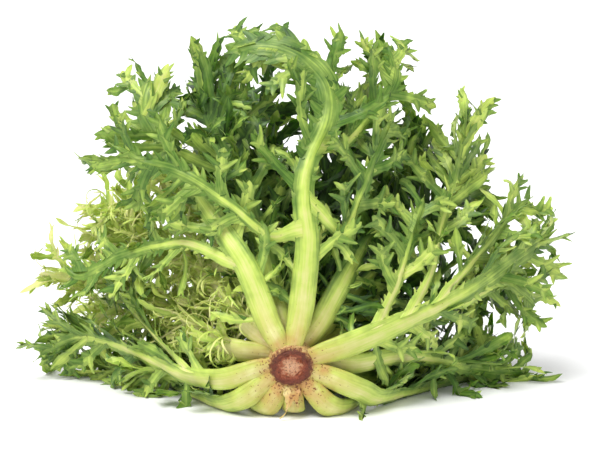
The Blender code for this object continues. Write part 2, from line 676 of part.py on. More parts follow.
def main():
    for thing in list(bpy.data.objects):
        bpy.data.objects.remove(thing)
    collection = bpy.data.collections.new("curly_endive_head")
    bpy.context.scene.collection.children.link(collection)
    stem = make_stem(leaf_material("cut stem", STEM_BROWN, 0.6), collection)
    for name, rib in grow_head(outer_faces(stem)):
        green = LEAF_GREENS[name.split("_")[0]]
        make_leaf(name, rib, leaf_material(name.replace("_", " "), green, 0.45), collection)


main()
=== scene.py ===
"""A curly endive head on a white table in soft studio light.

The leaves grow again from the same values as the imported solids, and each then gets its fine surface: a
stalk with toothed wings, ruffled lobes that end in fingers, and curly fronds between them.
"""

import math
import random
from dataclasses import dataclass, field

import bpy
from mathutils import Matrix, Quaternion, Vector
from mathutils.bvhtree import BVHTree


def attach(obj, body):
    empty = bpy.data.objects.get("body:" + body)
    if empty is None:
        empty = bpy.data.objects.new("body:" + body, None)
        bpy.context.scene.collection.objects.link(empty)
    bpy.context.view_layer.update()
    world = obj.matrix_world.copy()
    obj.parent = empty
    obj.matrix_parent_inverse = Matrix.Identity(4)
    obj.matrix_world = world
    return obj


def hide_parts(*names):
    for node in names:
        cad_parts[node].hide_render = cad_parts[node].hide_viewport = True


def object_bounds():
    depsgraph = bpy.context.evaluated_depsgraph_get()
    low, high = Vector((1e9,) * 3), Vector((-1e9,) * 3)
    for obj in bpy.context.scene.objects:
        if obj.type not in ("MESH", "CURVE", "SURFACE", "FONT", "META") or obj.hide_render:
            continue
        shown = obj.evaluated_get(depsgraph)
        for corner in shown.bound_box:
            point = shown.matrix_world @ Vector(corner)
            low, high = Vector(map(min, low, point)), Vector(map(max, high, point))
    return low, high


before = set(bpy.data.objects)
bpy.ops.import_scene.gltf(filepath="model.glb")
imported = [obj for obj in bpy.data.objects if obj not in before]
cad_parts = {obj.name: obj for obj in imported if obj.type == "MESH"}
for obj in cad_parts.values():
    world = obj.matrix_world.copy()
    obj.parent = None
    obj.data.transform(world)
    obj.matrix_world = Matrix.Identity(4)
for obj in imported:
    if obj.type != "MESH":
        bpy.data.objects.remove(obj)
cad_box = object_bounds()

MM = 0.001

# The head: where the middle of the cut face is, and how far the stem's axis rises towards the heart
CUT_PLACE = Vector((-0.1 * MM, -75.4 * MM, 27 * MM))
HEAD_RISE = math.radians(15)
AXIS = Vector((0, math.cos(HEAD_RISE), math.sin(HEAD_RISE)))
UPWARD = Vector((0, -math.sin(HEAD_RISE), math.cos(HEAD_RISE)))
RIGHT = Vector((1, 0, 0))

# The space that the loose head fills, from the table under the middle of the cut face
HEAD_LOW = Vector((-148 * MM, -12 * MM, 0))
HEAD_HIGH = Vector((147 * MM, 172 * MM, 193 * MM))

# The cut stem's outline: distance along its axis from the cut face, and radius
STEM_OUTLINE = ((36, 0), (35.2, 3.2), (31, 5.6), (25, 8.0), (19, 9.8), (13, 11.0), (7, 11.4), (2.2, 11.1),
                (0.5, 10.2), (0, 8.6), (0.9, 6.2), (1.1, 3.0), (0.6, 0))
STEM_GAP = 0.3 * MM

# The rings of leaves: distance along the stem, radius of the stem there, how far the foot leans to the axis
RINGS = {
    1: (3.4 * MM, 11.5 * MM, math.radians(0)),
    2: (9.6 * MM, 11.3 * MM, math.radians(6)),
    3: (15.8 * MM, 10.6 * MM, math.radians(20)),
    4: (22.2 * MM, 8.9 * MM, math.radians(38)),
    5: (29.2 * MM, 6.8 * MM, math.radians(58)),
}

# A rib's half width and half thickness, in millimetres, at shares of its length
RIB_HALF_WIDTH = ((0.0, 2.8), (0.06, 4.8), (0.13, 5.8), (0.32, 5.4), (0.50, 4.4), (0.85, 3.8), (1.0, 0.8))
RIB_HALF_DEPTH = ((0.0, 2.1), (0.10, 2.5), (0.30, 2.0), (0.50, 1.2), (0.8, 0.6), (1.0, 0.42))
SIDE_RIB_HALF_WIDTH = ((0.0, 3.8), (0.15, 3.2), (0.5, 3.2), (0.85, 3.0), (1.0, 0.6))
SIDE_RIB_HALF_DEPTH = ((0.0, 0.9), (0.4, 0.7), (1.0, 0.45))
LOBE_HALF_WIDTH = ((0.0, 2.9), (0.3, 2.2), (0.45, 2.5), (0.68, 3.3), (0.9, 2.2), (1.0, 0.0))
BLADE_HALF_DEPTH = 0.42 * MM

# How blades keep off each other while they grow
CLEARANCE = 1.5 * MM
OWN_CLEARANCE = 1.3 * MM
OWN_FREE_START = 3.2 * MM
SAMPLE_STEP = 1.5 * MM
FLOOR_GAP = 0.42 * MM

RIB_STATIONS = 60
LOBE_STATIONS = 24
PETIOLE_CUTS = (0.0, 0.09, 0.19)
LONG_PETIOLE_CUTS = (0.0, 0.06, 0.13, 0.21)
LAST_LOBE_CUT = 0.95
TOOTH_PLACES = ((2, -1), (2, 1), (1, -1), (1, 1))
TEETH_BY_RING = {1: 4, 2: 4, 3: 3, 4: 2, 5: 2}
# How far the lobes leave the plane of their leaf: the outermost leaves lie open and flat
WILDNESS_BY_RING = {1: 0.5, 2: 0.8, 3: 1.0, 4: 1.0, 5: 1.0}
LOBE_CUTS = (0.0, 0.4, 0.68, 1.0)

# What a lobe tries when its first way is taken: extra lift, extra turn, share of its length
LOBE_TRIES = ((0, 0, 1.0), (28, 0, 1.0), (-28, 0, 1.0), (52, 8, 0.95), (-52, 8, 0.95), (0, 14, 0.75),
              (30, 14, 0.75), (-30, 14, 0.75), (66, 0, 0.7), (-66, 0, 0.7), (18, 0, 0.5), (-18, 0, 0.5),
              (0, 20, 0.36))

# The fine surface: how far apart the rings of points are along a blade, and how low a blade may lie
RIB_RING_STEP = 1.05 * MM
LOBE_RING_STEP = 1.0 * MM
FROND_RING_STEP = 1.35 * MM
THREAD_RING_STEP = 1.6 * MM
FILL_RING_STEP = 1.8 * MM
LOWEST = 0.05 * MM
HEAD_MARGIN = 3 * MM
FOOT_FADE = 10 * MM
FOOT_INSET = 4.0 * MM
FOOT_SETBACK = 0.8 * MM
ROOT_REACH = 7 * MM

# Sections across a blade, once round: how far across, and how high as a share of the half thickness
STALK_SECTION = ((-1, 0), (-0.95, 0.36), (-0.78, 0.7), (-0.42, 0.94), (0, 1), (0.42, 0.94), (0.78, 0.7),
                 (0.95, 0.36), (1, 0), (0.9, -0.4), (0.62, -0.64), (0.3, -0.56), (-0.3, -0.56),
                 (-0.62, -0.64), (-0.9, -0.4))
WINGED_SECTION = ((-1, 0), (-0.93, 0.13), (-0.52, 0.2), (-0.25, 0.72), (0, 1), (0.25, 0.72), (0.52, 0.2),
                  (0.93, 0.13), (1, 0), (0.93, -0.13), (0.5, -0.2), (0.2, -0.5), (-0.2, -0.5), (-0.5, -0.2),
                  (-0.93, -0.13))
LOBE_SECTION = ((-1, 0), (-0.5, 0.42), (-0.16, 0.55), (0, 1), (0.16, 0.55), (0.5, 0.42), (1, 0), (0.5, -0.4),
                (0, -0.6), (-0.5, -0.4))
FROND_SECTION = ((-1, 0), (-0.4, 0.6), (0, 0.9), (0.4, 0.6), (1, 0), (0, -0.7))
FINGER_SECTION = ((-1, 0), (0, 1), (1, 0), (0, -0.8))
CREASE_ANGLE = math.radians(60)

# Half widths of fine blades, in millimetres, at shares of their length
FINE_RIB_WIDTH = ((0.0, 4.2), (0.045, 5.7), (0.11, 6.5), (0.2, 6.3), (0.34, 5.6), (0.5, 4.4), (0.85, 4.1),
                  (1.0, 0.8))
FINE_LOBE_WIDTH = ((0.0, 2.6), (0.2, 1.8), (0.45, 2.0), (0.68, 2.7), (0.86, 2.1), (0.95, 1.3), (1.0, 0.25))
TOOTH_WIDTH = ((0.0, 2.1), (0.3, 1.35), (0.65, 0.95), (0.88, 0.65), (1.0, 0.12))
FROND_WIDTH = ((0.0, 1.1), (0.3, 1.1), (0.7, 1.9), (0.9, 1.2), (1.0, 0.12))
FILL_WIDTH = ((0.0, 1.3), (0.3, 1.5), (0.7, 2.6), (0.9, 1.8), (1.0, 0.2))
THREAD_WIDTH = ((0.0, 0.6), (0.5, 0.48), (0.85, 0.42), (1.0, 0.1))
FINGER_WIDTH = ((0.0, 1.35), (0.3, 1.0), (0.7, 0.65), (0.9, 0.4), (1.0, 0.08))

# Where on a blade's section its edge tone starts and is full, and how its tone changes from blade to blade
EDGE_TONE = (0.18, 0.72)
LUCK_STEP = 0.618
RIB_LUCK = 0.5
TORN_FOOT_LUCK = 0.6

# The greenest that a rib's foot gets, and its wings near the foot
FOOT_GREEN = 0.14
WING_GREEN = 0.36

# Shares of a main rib's length between which its end broadens, if the leaf has a broad end
BROAD_END = (0.45, 0.75)
# Shares of length between which the stalk's section turns into the winged one, on main and on side ribs
WINGS_OPEN = {True: (0.2, 0.46), False: (0.0, 0.45)}
RIB_TOOTH_PITCH = 5.4 * MM
BLADE_TOOTH_PITCH = 4.4 * MM
LOBE_TOOTH_PITCH = 2.6 * MM
SIDE_RIB_INSET = 3.6 * MM
SIDE_RIB_FLARE = 2.4 * MM
SIDE_RIB_FLARE_REACH = 3 * MM
SIDE_RIB_FRONDS = 6
THINNEST = 0.12 * MM

# Hooks on a rib's edges: gap between them, reach and width in millimetres, near the foot and near the tip
HOOK_GAP = (3.2, 7.6)
HOOK_REACH = (2.2, 6.0)
HOOK_WIDTH = (0.9, 1.4)
FINGER_HALF_DEPTH = 0.22 * MM
LOBE_TOOTH_HALF_DEPTH = 0.26 * MM

# How fine fronds leave a rib, in degrees from its line, and how much they turn, curl and twist in all
SPROUT_TRIES = 6
SPROUT_GAP = 0.7 * MM
SPROUT_ANGLE = (30, 80)
SPROUT_TURN = (-60, 60)
SPROUT_TWIST = (-120, 120)
SPROUT_RIPPLE = (20, 90)
THREAD_CURL = (-380, 380)
FROND_CURL = (-100, 100)
# A blade for a thin spot starts at one of these shares of its rib, the one about this far from the spot
AIMED_SHARES = tuple(k / 40 for k in range(6, 40))
AIMED_REACH = 26 * MM

# The torn foot's two points: the way down, half width at the top, and the share over which it narrows
TORN_FOOT = (
    (((0.2, 5.0, 17.5), (-0.4, 2.2, 13), (-1.2, 0.6, 9), (-2.2, 0.2, 5.6), (-3.4, 0.4, 3.2),
      (-5.6, 0.6, 1.4)), 4.6, 0.8),
    (((1.0, 5.0, 17.0), (2.0, 2.6, 12.5), (2.8, 1.6, 9), (3.6, 1.8, 6.6)), 3.6, 0.95),
)
# Spots where the head would be thin, and the leaf that has blades there
THIN_SPOTS = {
    "outer_leaf_top": ((-103, 36, 118), (-96, 34, 122), (28, 52, 152), (32, 54, 158)),
    "outer_leaf_right": (
        (140, 72, 80), (133, 68, 84), (93, 76, 150), (94, 74, 141), (90, 70, 133), (96, 72, 126),
        (97, 66, 109), (76, 70, 131), (72, 70, 122), (70, 72, 138), (88, 74, 139), (96, 76, 147),
        (141, 72, 84), (99, 70, 112), (95, 68, 103),
    ),
    "outer_leaf_left": (
        (-128, 78, 32), (-120, 76, 38), (-120, 78, 27), (-131, 80, 24), (-112, 74, 30), (-127, 80, 27),
        (-124, 80, 20), (-122, 78, 33), (-113, 76, 34), (-131, 80, 30), (-128, 80, 12), (-122, 78, 10),
    ),
    "outer_leaf_upper_left": (
        (-62, 58, 166), (-60, 56, 156), (-78, 60, 150), (-92, 42, 136), (-88, 44, 130),
    ),
    "second_leaf_upper_right": (
        (66, 80, 129), (60, 72, 134), (74, 84, 122), (78, 86, 112), (56, 70, 124), (64, 76, 118),
        (70, 82, 134), (56, 66, 144), (62, 72, 142), (68, 78, 138), (52, 62, 148), (60, 66, 132),
        (46, 62, 174),
    ),
    "second_leaf_top": (
        (-46, 46, 166), (-38, 46, 176), (-30, 44, 168), (-52, 48, 160), (-42, 42, 152), (-34, 44, 162),
        (-56, 46, 154), (-24, 42, 160), (-34, 46, 180), (-40, 46, 171), (-28, 46, 176), (-44, 46, 178),
    ),
    "second_leaf_right": ((98, 62, 33), (92, 60, 38), (102, 66, 28), (94, 64, 44), (100, 64, 40)),
    "second_leaf_left": ((-124, 80, 52),),
    "second_leaf_upper_left": ((-101, 84, 76), (-106, 80, 74)),
    "second_leaf_lower_left": ((-118, 92, 12), (-110, 86, 18), (-126, 90, 10)),
    "third_leaf_top": (
        (0, 50, 134), (-6, 54, 142), (-12, 52, 128), (-2, 60, 149), (0, 60, 143), (-10, 56, 150),
        (-4, 60, 156),
    ),
    "third_leaf_top_right": (
        (30, 74, 150), (38, 72, 146), (24, 70, 152), (46, 66, 150), (34, 66, 142), (30, 66, 158),
    ),
    "third_leaf_upper_left": (
        (-65, 78, 102), (-70, 84, 110), (-60, 72, 96), (-67, 80, 96), (-66, 82, 92), (-63, 74, 78),
        (-56, 68, 82), (-72, 80, 84),
    ),
    "third_leaf_lower_left": (
        (-50, 60, 44), (-42, 52, 46), (-58, 68, 42), (-70, 76, 46), (-61, 66, 51), (-54, 60, 56),
    ),
}

# The finish: colours from blanched rib to deep green blade, and from the pith of the cut stem to its rim
# The darkest leaf stops, which the back and inner leaves use, are partly painted shade for the dark gaps deep
# in the head
LEAF_STOPS = ((0.0, "#E8E2B6"), (0.1, "#D7D592"), (0.2, "#CACE7C"), (0.3, "#BBCE5F"), (0.42, "#9DB64F"),
              (0.55, "#738F39"), (0.7, "#4E7320"), (0.85, "#2D4F0D"), (1.0, "#173003"))
STEM_STOPS = ((0.0, "#DBAC88"), (0.33, "#C89470"), (0.49, "#994F2F"), (0.64, "#733018"), (0.84, "#5C2611"),
              (0.95, "#A0703F"), (1.0, "#C2A268"))
STEM_REACH = 11.4 * MM
LEAF_STAIN = "#BC9156"
LEAF_FRECKLE = "#74401F"
LEAF_WITHERED = "#8C6A34"
STEM_SPOT = "#3C1A13"
# How often a pattern repeats in a millimetre: veins across and along a blade, patches and freckles on
# leaves, and blotches and grain on the cut stem
VEINS_PER_MM = (1.1, 0.05, 1.0)
PATCHES_PER_MM = 0.125
FRECKLES_PER_MM = 0.9
BLOTCHES_PER_MM = 0.48
GRAINS_PER_MM = 1.4

# The stem's fine surface: points round it and along its outline, and lumps as turns a millimetre, turns
# round the stem, phase and height
STEM_FINE_SIDES = 96
STEM_FINE_RINGS = 70
STEM_LUMPS = 14
STEM_LUMP_RANGES = ((1, 5), (2, 9), (0, 6), (0.04, 0.14))
STEM_MIDDLE = 0.1 * MM
CUT_EDGE = (4 * MM, 1 * MM)

# Seeds of the random draws
GROWTH_SEED = 1000
FRILL_SEED = 500
STEM_SEED = 7

# The camera's rise above the cut face, its distance from it in metres, and its lens in millimetres
CAMERA_RISE = math.radians(15)
CAMERA_DISTANCE = 1.0
CAMERA_LENS = 123
# The middle of the picture, to the right of the cut face's middle and up from it, as the camera sees it
PICTURE_MIDDLE = (4.4 * MM, 69.8 * MM)
TABLE_REACH = 9.0
TABLE_WHITE = "#F8F8F8"
ROOM_WHITE = "#FFFFFF"
ROOM_STRENGTH = 0.76
LAMP_PLACE = Vector((-0.38, -0.46, 1.0))
LAMP_STRENGTH = 2.9
LAMP_WIDTH = math.radians(30)


@dataclass
class Frond:
    """A rib or lobe: its middle line in even steps, its blade, and what grows from its two edges."""

    points: list
    normals: list
    half_width: tuple
    half_depth: object
    cuts: tuple
    ridged: bool = False
    width_scale: float = 1.0
    teeth: list = field(default_factory=list)
    shoots: list = field(default_factory=list)

    def at(self, share):
        """Place, direction along, direction to the right edge, and outward normal at a share of length."""
        place = min(max(share, 0.0), 1.0) * (len(self.points) - 1)
        low = min(int(place), len(self.points) - 2)
        part = place - low
        point = self.points[low].lerp(self.points[low + 1], part)
        ahead = (self.points[low + 1] - self.points[low]).normalized()
        normal = self.normals[low].lerp(self.normals[low + 1], part)
        normal = (normal - ahead * normal.dot(ahead)).normalized()
        return point, ahead, ahead.cross(normal), normal

    def width_at(self, share):
        return between(self.half_width, share) * MM * self.width_scale

    def depth_at(self, share):
        if isinstance(self.half_depth, tuple):
            return between(self.half_depth, share) * MM * self.width_scale
        return self.half_depth


def between(pairs, share):
    """The value at a share, read off straight lines between the pairs."""
    for (low, first), (high, second) in zip(pairs, pairs[1:]):
        if share <= high:
            return first + (second - first) * (share - low) / (high - low)
    return pairs[-1][1]


def smooth_line(route, count):
    """A smooth line through the route's points, as count + 1 points in even steps."""
    ends = [route[0] * 2 - route[1], *route, route[-1] * 2 - route[-2]]
    fine = [route[0]]
    for a, b, c, d in zip(ends, ends[1:], ends[2:], ends[3:]):
        for step in range(1, 13):
            t = step / 12
            fine.append(0.5 * (b * 2 + (c - a) * t + (a * 2 - b * 5 + c * 4 - d) * t * t
                               + (b * 3 - a - c * 3 + d) * t ** 3))
    return even_steps(fine, count)


def even_steps(line, count):
    """The same line as count + 1 points that are equally far apart along it."""
    reached = [0.0]
    for a, b in zip(line, line[1:]):
        reached.append(reached[-1] + (b - a).length)
    spaced = []
    k = 0
    for i in range(count + 1):
        want = reached[-1] * i / count
        while k < len(line) - 2 and reached[k + 1] < want:
            k += 1
        span = reached[k + 1] - reached[k]
        spaced.append(line[k].lerp(line[k + 1], (want - reached[k]) / span if span else 0.0))
    return spaced


def carried_normals(points, first, twist=0.0):
    """Normals that follow the line with no turn of their own, plus an even twist over its whole length."""
    ahead = (points[1] - points[0]).normalized()
    normal = (first - ahead * first.dot(ahead)).normalized()
    normals = [normal]
    for a, b in zip(points[1:], points[2:]):
        onward = (b - a).normalized()
        turn = ahead.rotation_difference(onward)
        normal = turn @ normal
        normal = Quaternion(onward, twist / (len(points) - 1)) @ normal
        normals.append(normal)
        ahead = onward
    return [*normals, normals[-1]]


def wander(start, ahead, normal, length, turn, curl, twist, ripple, phase):
    """A lobe's middle line and normals. It turns in the blade's plane, curls out of it and twists, and
    where it comes down to the table it lies along it."""
    points = [start.copy()]
    normals = [normal.copy()]
    step = length / LOBE_STATIONS
    for i in range(LOBE_STATIONS):
        share = (i + 0.5) / LOBE_STATIONS
        side = ahead.cross(normal)
        bend = (curl * (0.5 + share) + ripple * math.cos(2 * math.pi * 1.5 * share + phase)) / LOBE_STATIONS
        swing = (turn + 0.6 * ripple * math.sin(2 * math.pi * 1.2 * share + phase)) / LOBE_STATIONS
        ahead = Quaternion(side, bend) @ (Quaternion(normal, swing) @ ahead)
        normal = Quaternion(ahead, twist / LOBE_STATIONS) @ (Quaternion(side, bend) @ normal)
        onward = points[-1] + ahead * step
        if onward.z < FLOOR_GAP:
            onward.z = FLOOR_GAP
            ahead = (onward - points[-1]).normalized()
        normal = (normal - ahead * normal.dot(ahead)).normalized()
        points.append(onward)
        normals.append(normal.copy())
    return points, normals


class Sheet:
    """The middle surface of a leaf, as points with half a thickness each, and faces between them."""

    def __init__(self):
        self.points = []
        self.depths = []
        self.faces = []

    def point(self, place, depth):
        place = place.copy()
        place.z = max(place.z, FLOOR_GAP)
        self.points.append(place)
        self.depths.append(depth)
        return len(self.points) - 1

    def add(self, frond, base=None):
        """Adds a frond and all that it carries, from its own first row or its carrier's edge."""
        rows = []
        for cut in frond.cuts:
            place, _, right, _ = frond.at(cut)
            width, depth = frond.width_at(cut), frond.depth_at(cut)
            if base is not None and cut == 0.0:
                rows.append(base)
            elif cut == 1.0:
                rows.append((self.point(place, min(depth, BLADE_HALF_DEPTH)),))
            else:
                edge = min(depth, BLADE_HALF_DEPTH * 1.2)
                across = [self.point(place - right * width, edge), self.point(place + right * width, edge)]
                if frond.ridged:
                    across.insert(1, self.point(place, depth))
                rows.append(tuple(across))
        for low, high in zip(rows, rows[1:]):
            self.fill(low, high)
        for row, side, tip in frond.teeth:
            self.tooth(rows[row], rows[row + 1], side, tip)
        for row, side, shoot in frond.shoots:
            self.add(shoot, self.edge(rows[row], rows[row + 1], side))

    def fill(self, low, high):
        if len(high) == 1:
            for a, b in zip(low, low[1:]):
                self.faces.append((a, b, high[0]))
            return
        for a, b, c, d in zip(low, low[1:], high[1:], high):
            self.faces.append((a, b, c, d))

    def edge(self, low, high, side):
        """The two points that a shoot on this side starts from, its own left one first."""
        return (low[0], high[0]) if side < 0 else (high[-1], low[-1])

    def tooth(self, low, high, side, tip):
        left, right = self.edge(low, high, side)
        self.faces.append((left, right, self.point(tip, BLADE_HALF_DEPTH * 0.8)))

    def triangles(self):
        split = []
        for face in self.faces:
            split.append(face[:3])
            if len(face) == 4:
                split.append((face[0], face[2], face[3]))
        return split


def edge_of(frond, row, side):
    """The two ends of the stretch of edge that a shoot at this row grows from, its own left one first."""
    ends = []
    for cut in (frond.cuts[row], frond.cuts[row + 1]):
        place, _, right, _ = frond.at(cut)
        ends.append(place + right * frond.width_at(cut) * side)
    return ends if side < 0 else ends[::-1]


def tooth_tip(frond, row, side, reach, lean):
    """The tip of a tooth on the edge between two rows. It leans towards the frond's tip."""
    left, right = edge_of(frond, row, side)
    _, ahead, rightward, _ = frond.at((frond.cuts[row] + frond.cuts[row + 1]) / 2)
    tip = (left + right) / 2 + rightward * side * reach + ahead * reach * lean
    tip.z = max(tip.z, FLOOR_GAP)
    return tip


def spread(a, b, c):
    """Points all over a triangle, no further apart than the sample step."""
    count = max(1, math.ceil(max((a - b).length, (b - c).length, (c - a).length) / SAMPLE_STEP))
    for i in range(count + 1):
        for j in range(count + 1 - i):
            yield a + (b - a) * (i / count) + (c - a) * (j / count)


def sheet_of(frond, row=None, side=None, parent=None):
    """The sheet of one frond alone, starting from its parent's edge if it has one."""
    sheet = Sheet()
    base = None
    if parent is not None:
        base = tuple(sheet.point(place, BLADE_HALF_DEPTH) for place in edge_of(parent, row, side))
    bare = Frond(frond.points, frond.normals, frond.half_width, frond.half_depth, frond.cuts, frond.ridged,
                 frond.width_scale, frond.teeth)
    sheet.add(bare, base)
    return sheet


def solid_faces(sheet):
    """The sheet's two outer faces, close enough to the final solid to keep other blades off it."""
    normals = [Vector((0, 0, 0)) for _ in sheet.points]
    triangles = sheet.triangles()
    for a, b, c in triangles:
        normal = (sheet.points[b] - sheet.points[a]).cross(sheet.points[c] - sheet.points[a])
        for corner in (a, b, c):
            normals[corner] += normal
    points = []
    for sign in (1, -1):
        for place, normal, depth in zip(sheet.points, normals, sheet.depths):
            points.append(place + normal.normalized() * depth * sign)
    count = len(sheet.points)
    return points, triangles + [(a + count, b + count, c + count) for a, b, c in triangles]


class Crowd:
    """All that has grown so far, so that a new blade can be kept clear of it."""

    def __init__(self):
        self.points = []
        self.triangles = []
        self.tree = None

    def add(self, points, triangles):
        start = len(self.points)
        self.points.extend(points)
        self.triangles.extend([tuple(corner + start for corner in triangle) for triangle in triangles])
        self.tree = None

    def meets(self, sheet, gap, root=None):
        """True if the sheet crosses the crowd or is nearer than the gap, except close to the given edge."""
        if not self.triangles:
            return False
        if self.tree is None:
            self.tree = BVHTree.FromPolygons(self.points, self.triangles)
        triangles = sheet.triangles()
        if root is None and self.tree.overlap(BVHTree.FromPolygons(sheet.points, triangles)):
            return True
        for a, b, c in triangles:
            for place in spread(sheet.points[a], sheet.points[b], sheet.points[c]):
                if root is not None and to_edge(place, *root) < OWN_FREE_START:
                    continue
                if self.tree.find_nearest(place, gap)[0] is not None:
                    return True
        return False


def to_edge(place, start, end):
    """The distance from a place to the straight edge between two points."""
    along = (place - start).dot(end - start) / (end - start).length_squared
    return (place - start.lerp(end, min(max(along, 0.0), 1.0))).length


def inside_head(sheet):
    ground = Vector((CUT_PLACE.x, CUT_PLACE.y, 0))
    away = [place - ground for place in sheet.points]
    return all(HEAD_LOW[k] <= place[k] <= HEAD_HIGH[k] for place in away for k in range(3))


def on_head(*places):
    """Points given in millimetres from the table under the cut face."""
    ground = Vector((CUT_PLACE.x, CUT_PLACE.y, 0))
    return [ground + Vector(place) * MM for place in places]


def fanned(plan, rise, reach, sag=0.0, bow=0.0):
    """A leaf's route out of the stem: degrees to the right and up, then reach, sag and bow in mm."""
    plan, rise = math.radians(plan), math.radians(rise)
    ahead = Vector((math.sin(plan) * math.cos(rise), math.cos(plan) * math.cos(rise), math.sin(rise)))
    side = Vector((math.cos(plan), -math.sin(plan), 0))
    crown = CUT_PLACE + AXIS * 16 * MM
    route = []
    for share in (0.24, 0.42, 0.6, 0.8, 1.0):
        place = crown + ahead * reach * share * MM
        place += side * bow * MM * math.sin(math.pi * share) - Vector((0, 0, sag * MM * share ** 2.5))
        place.z = max(place.z, 3.2 * MM)
        route.append(place)
    return route


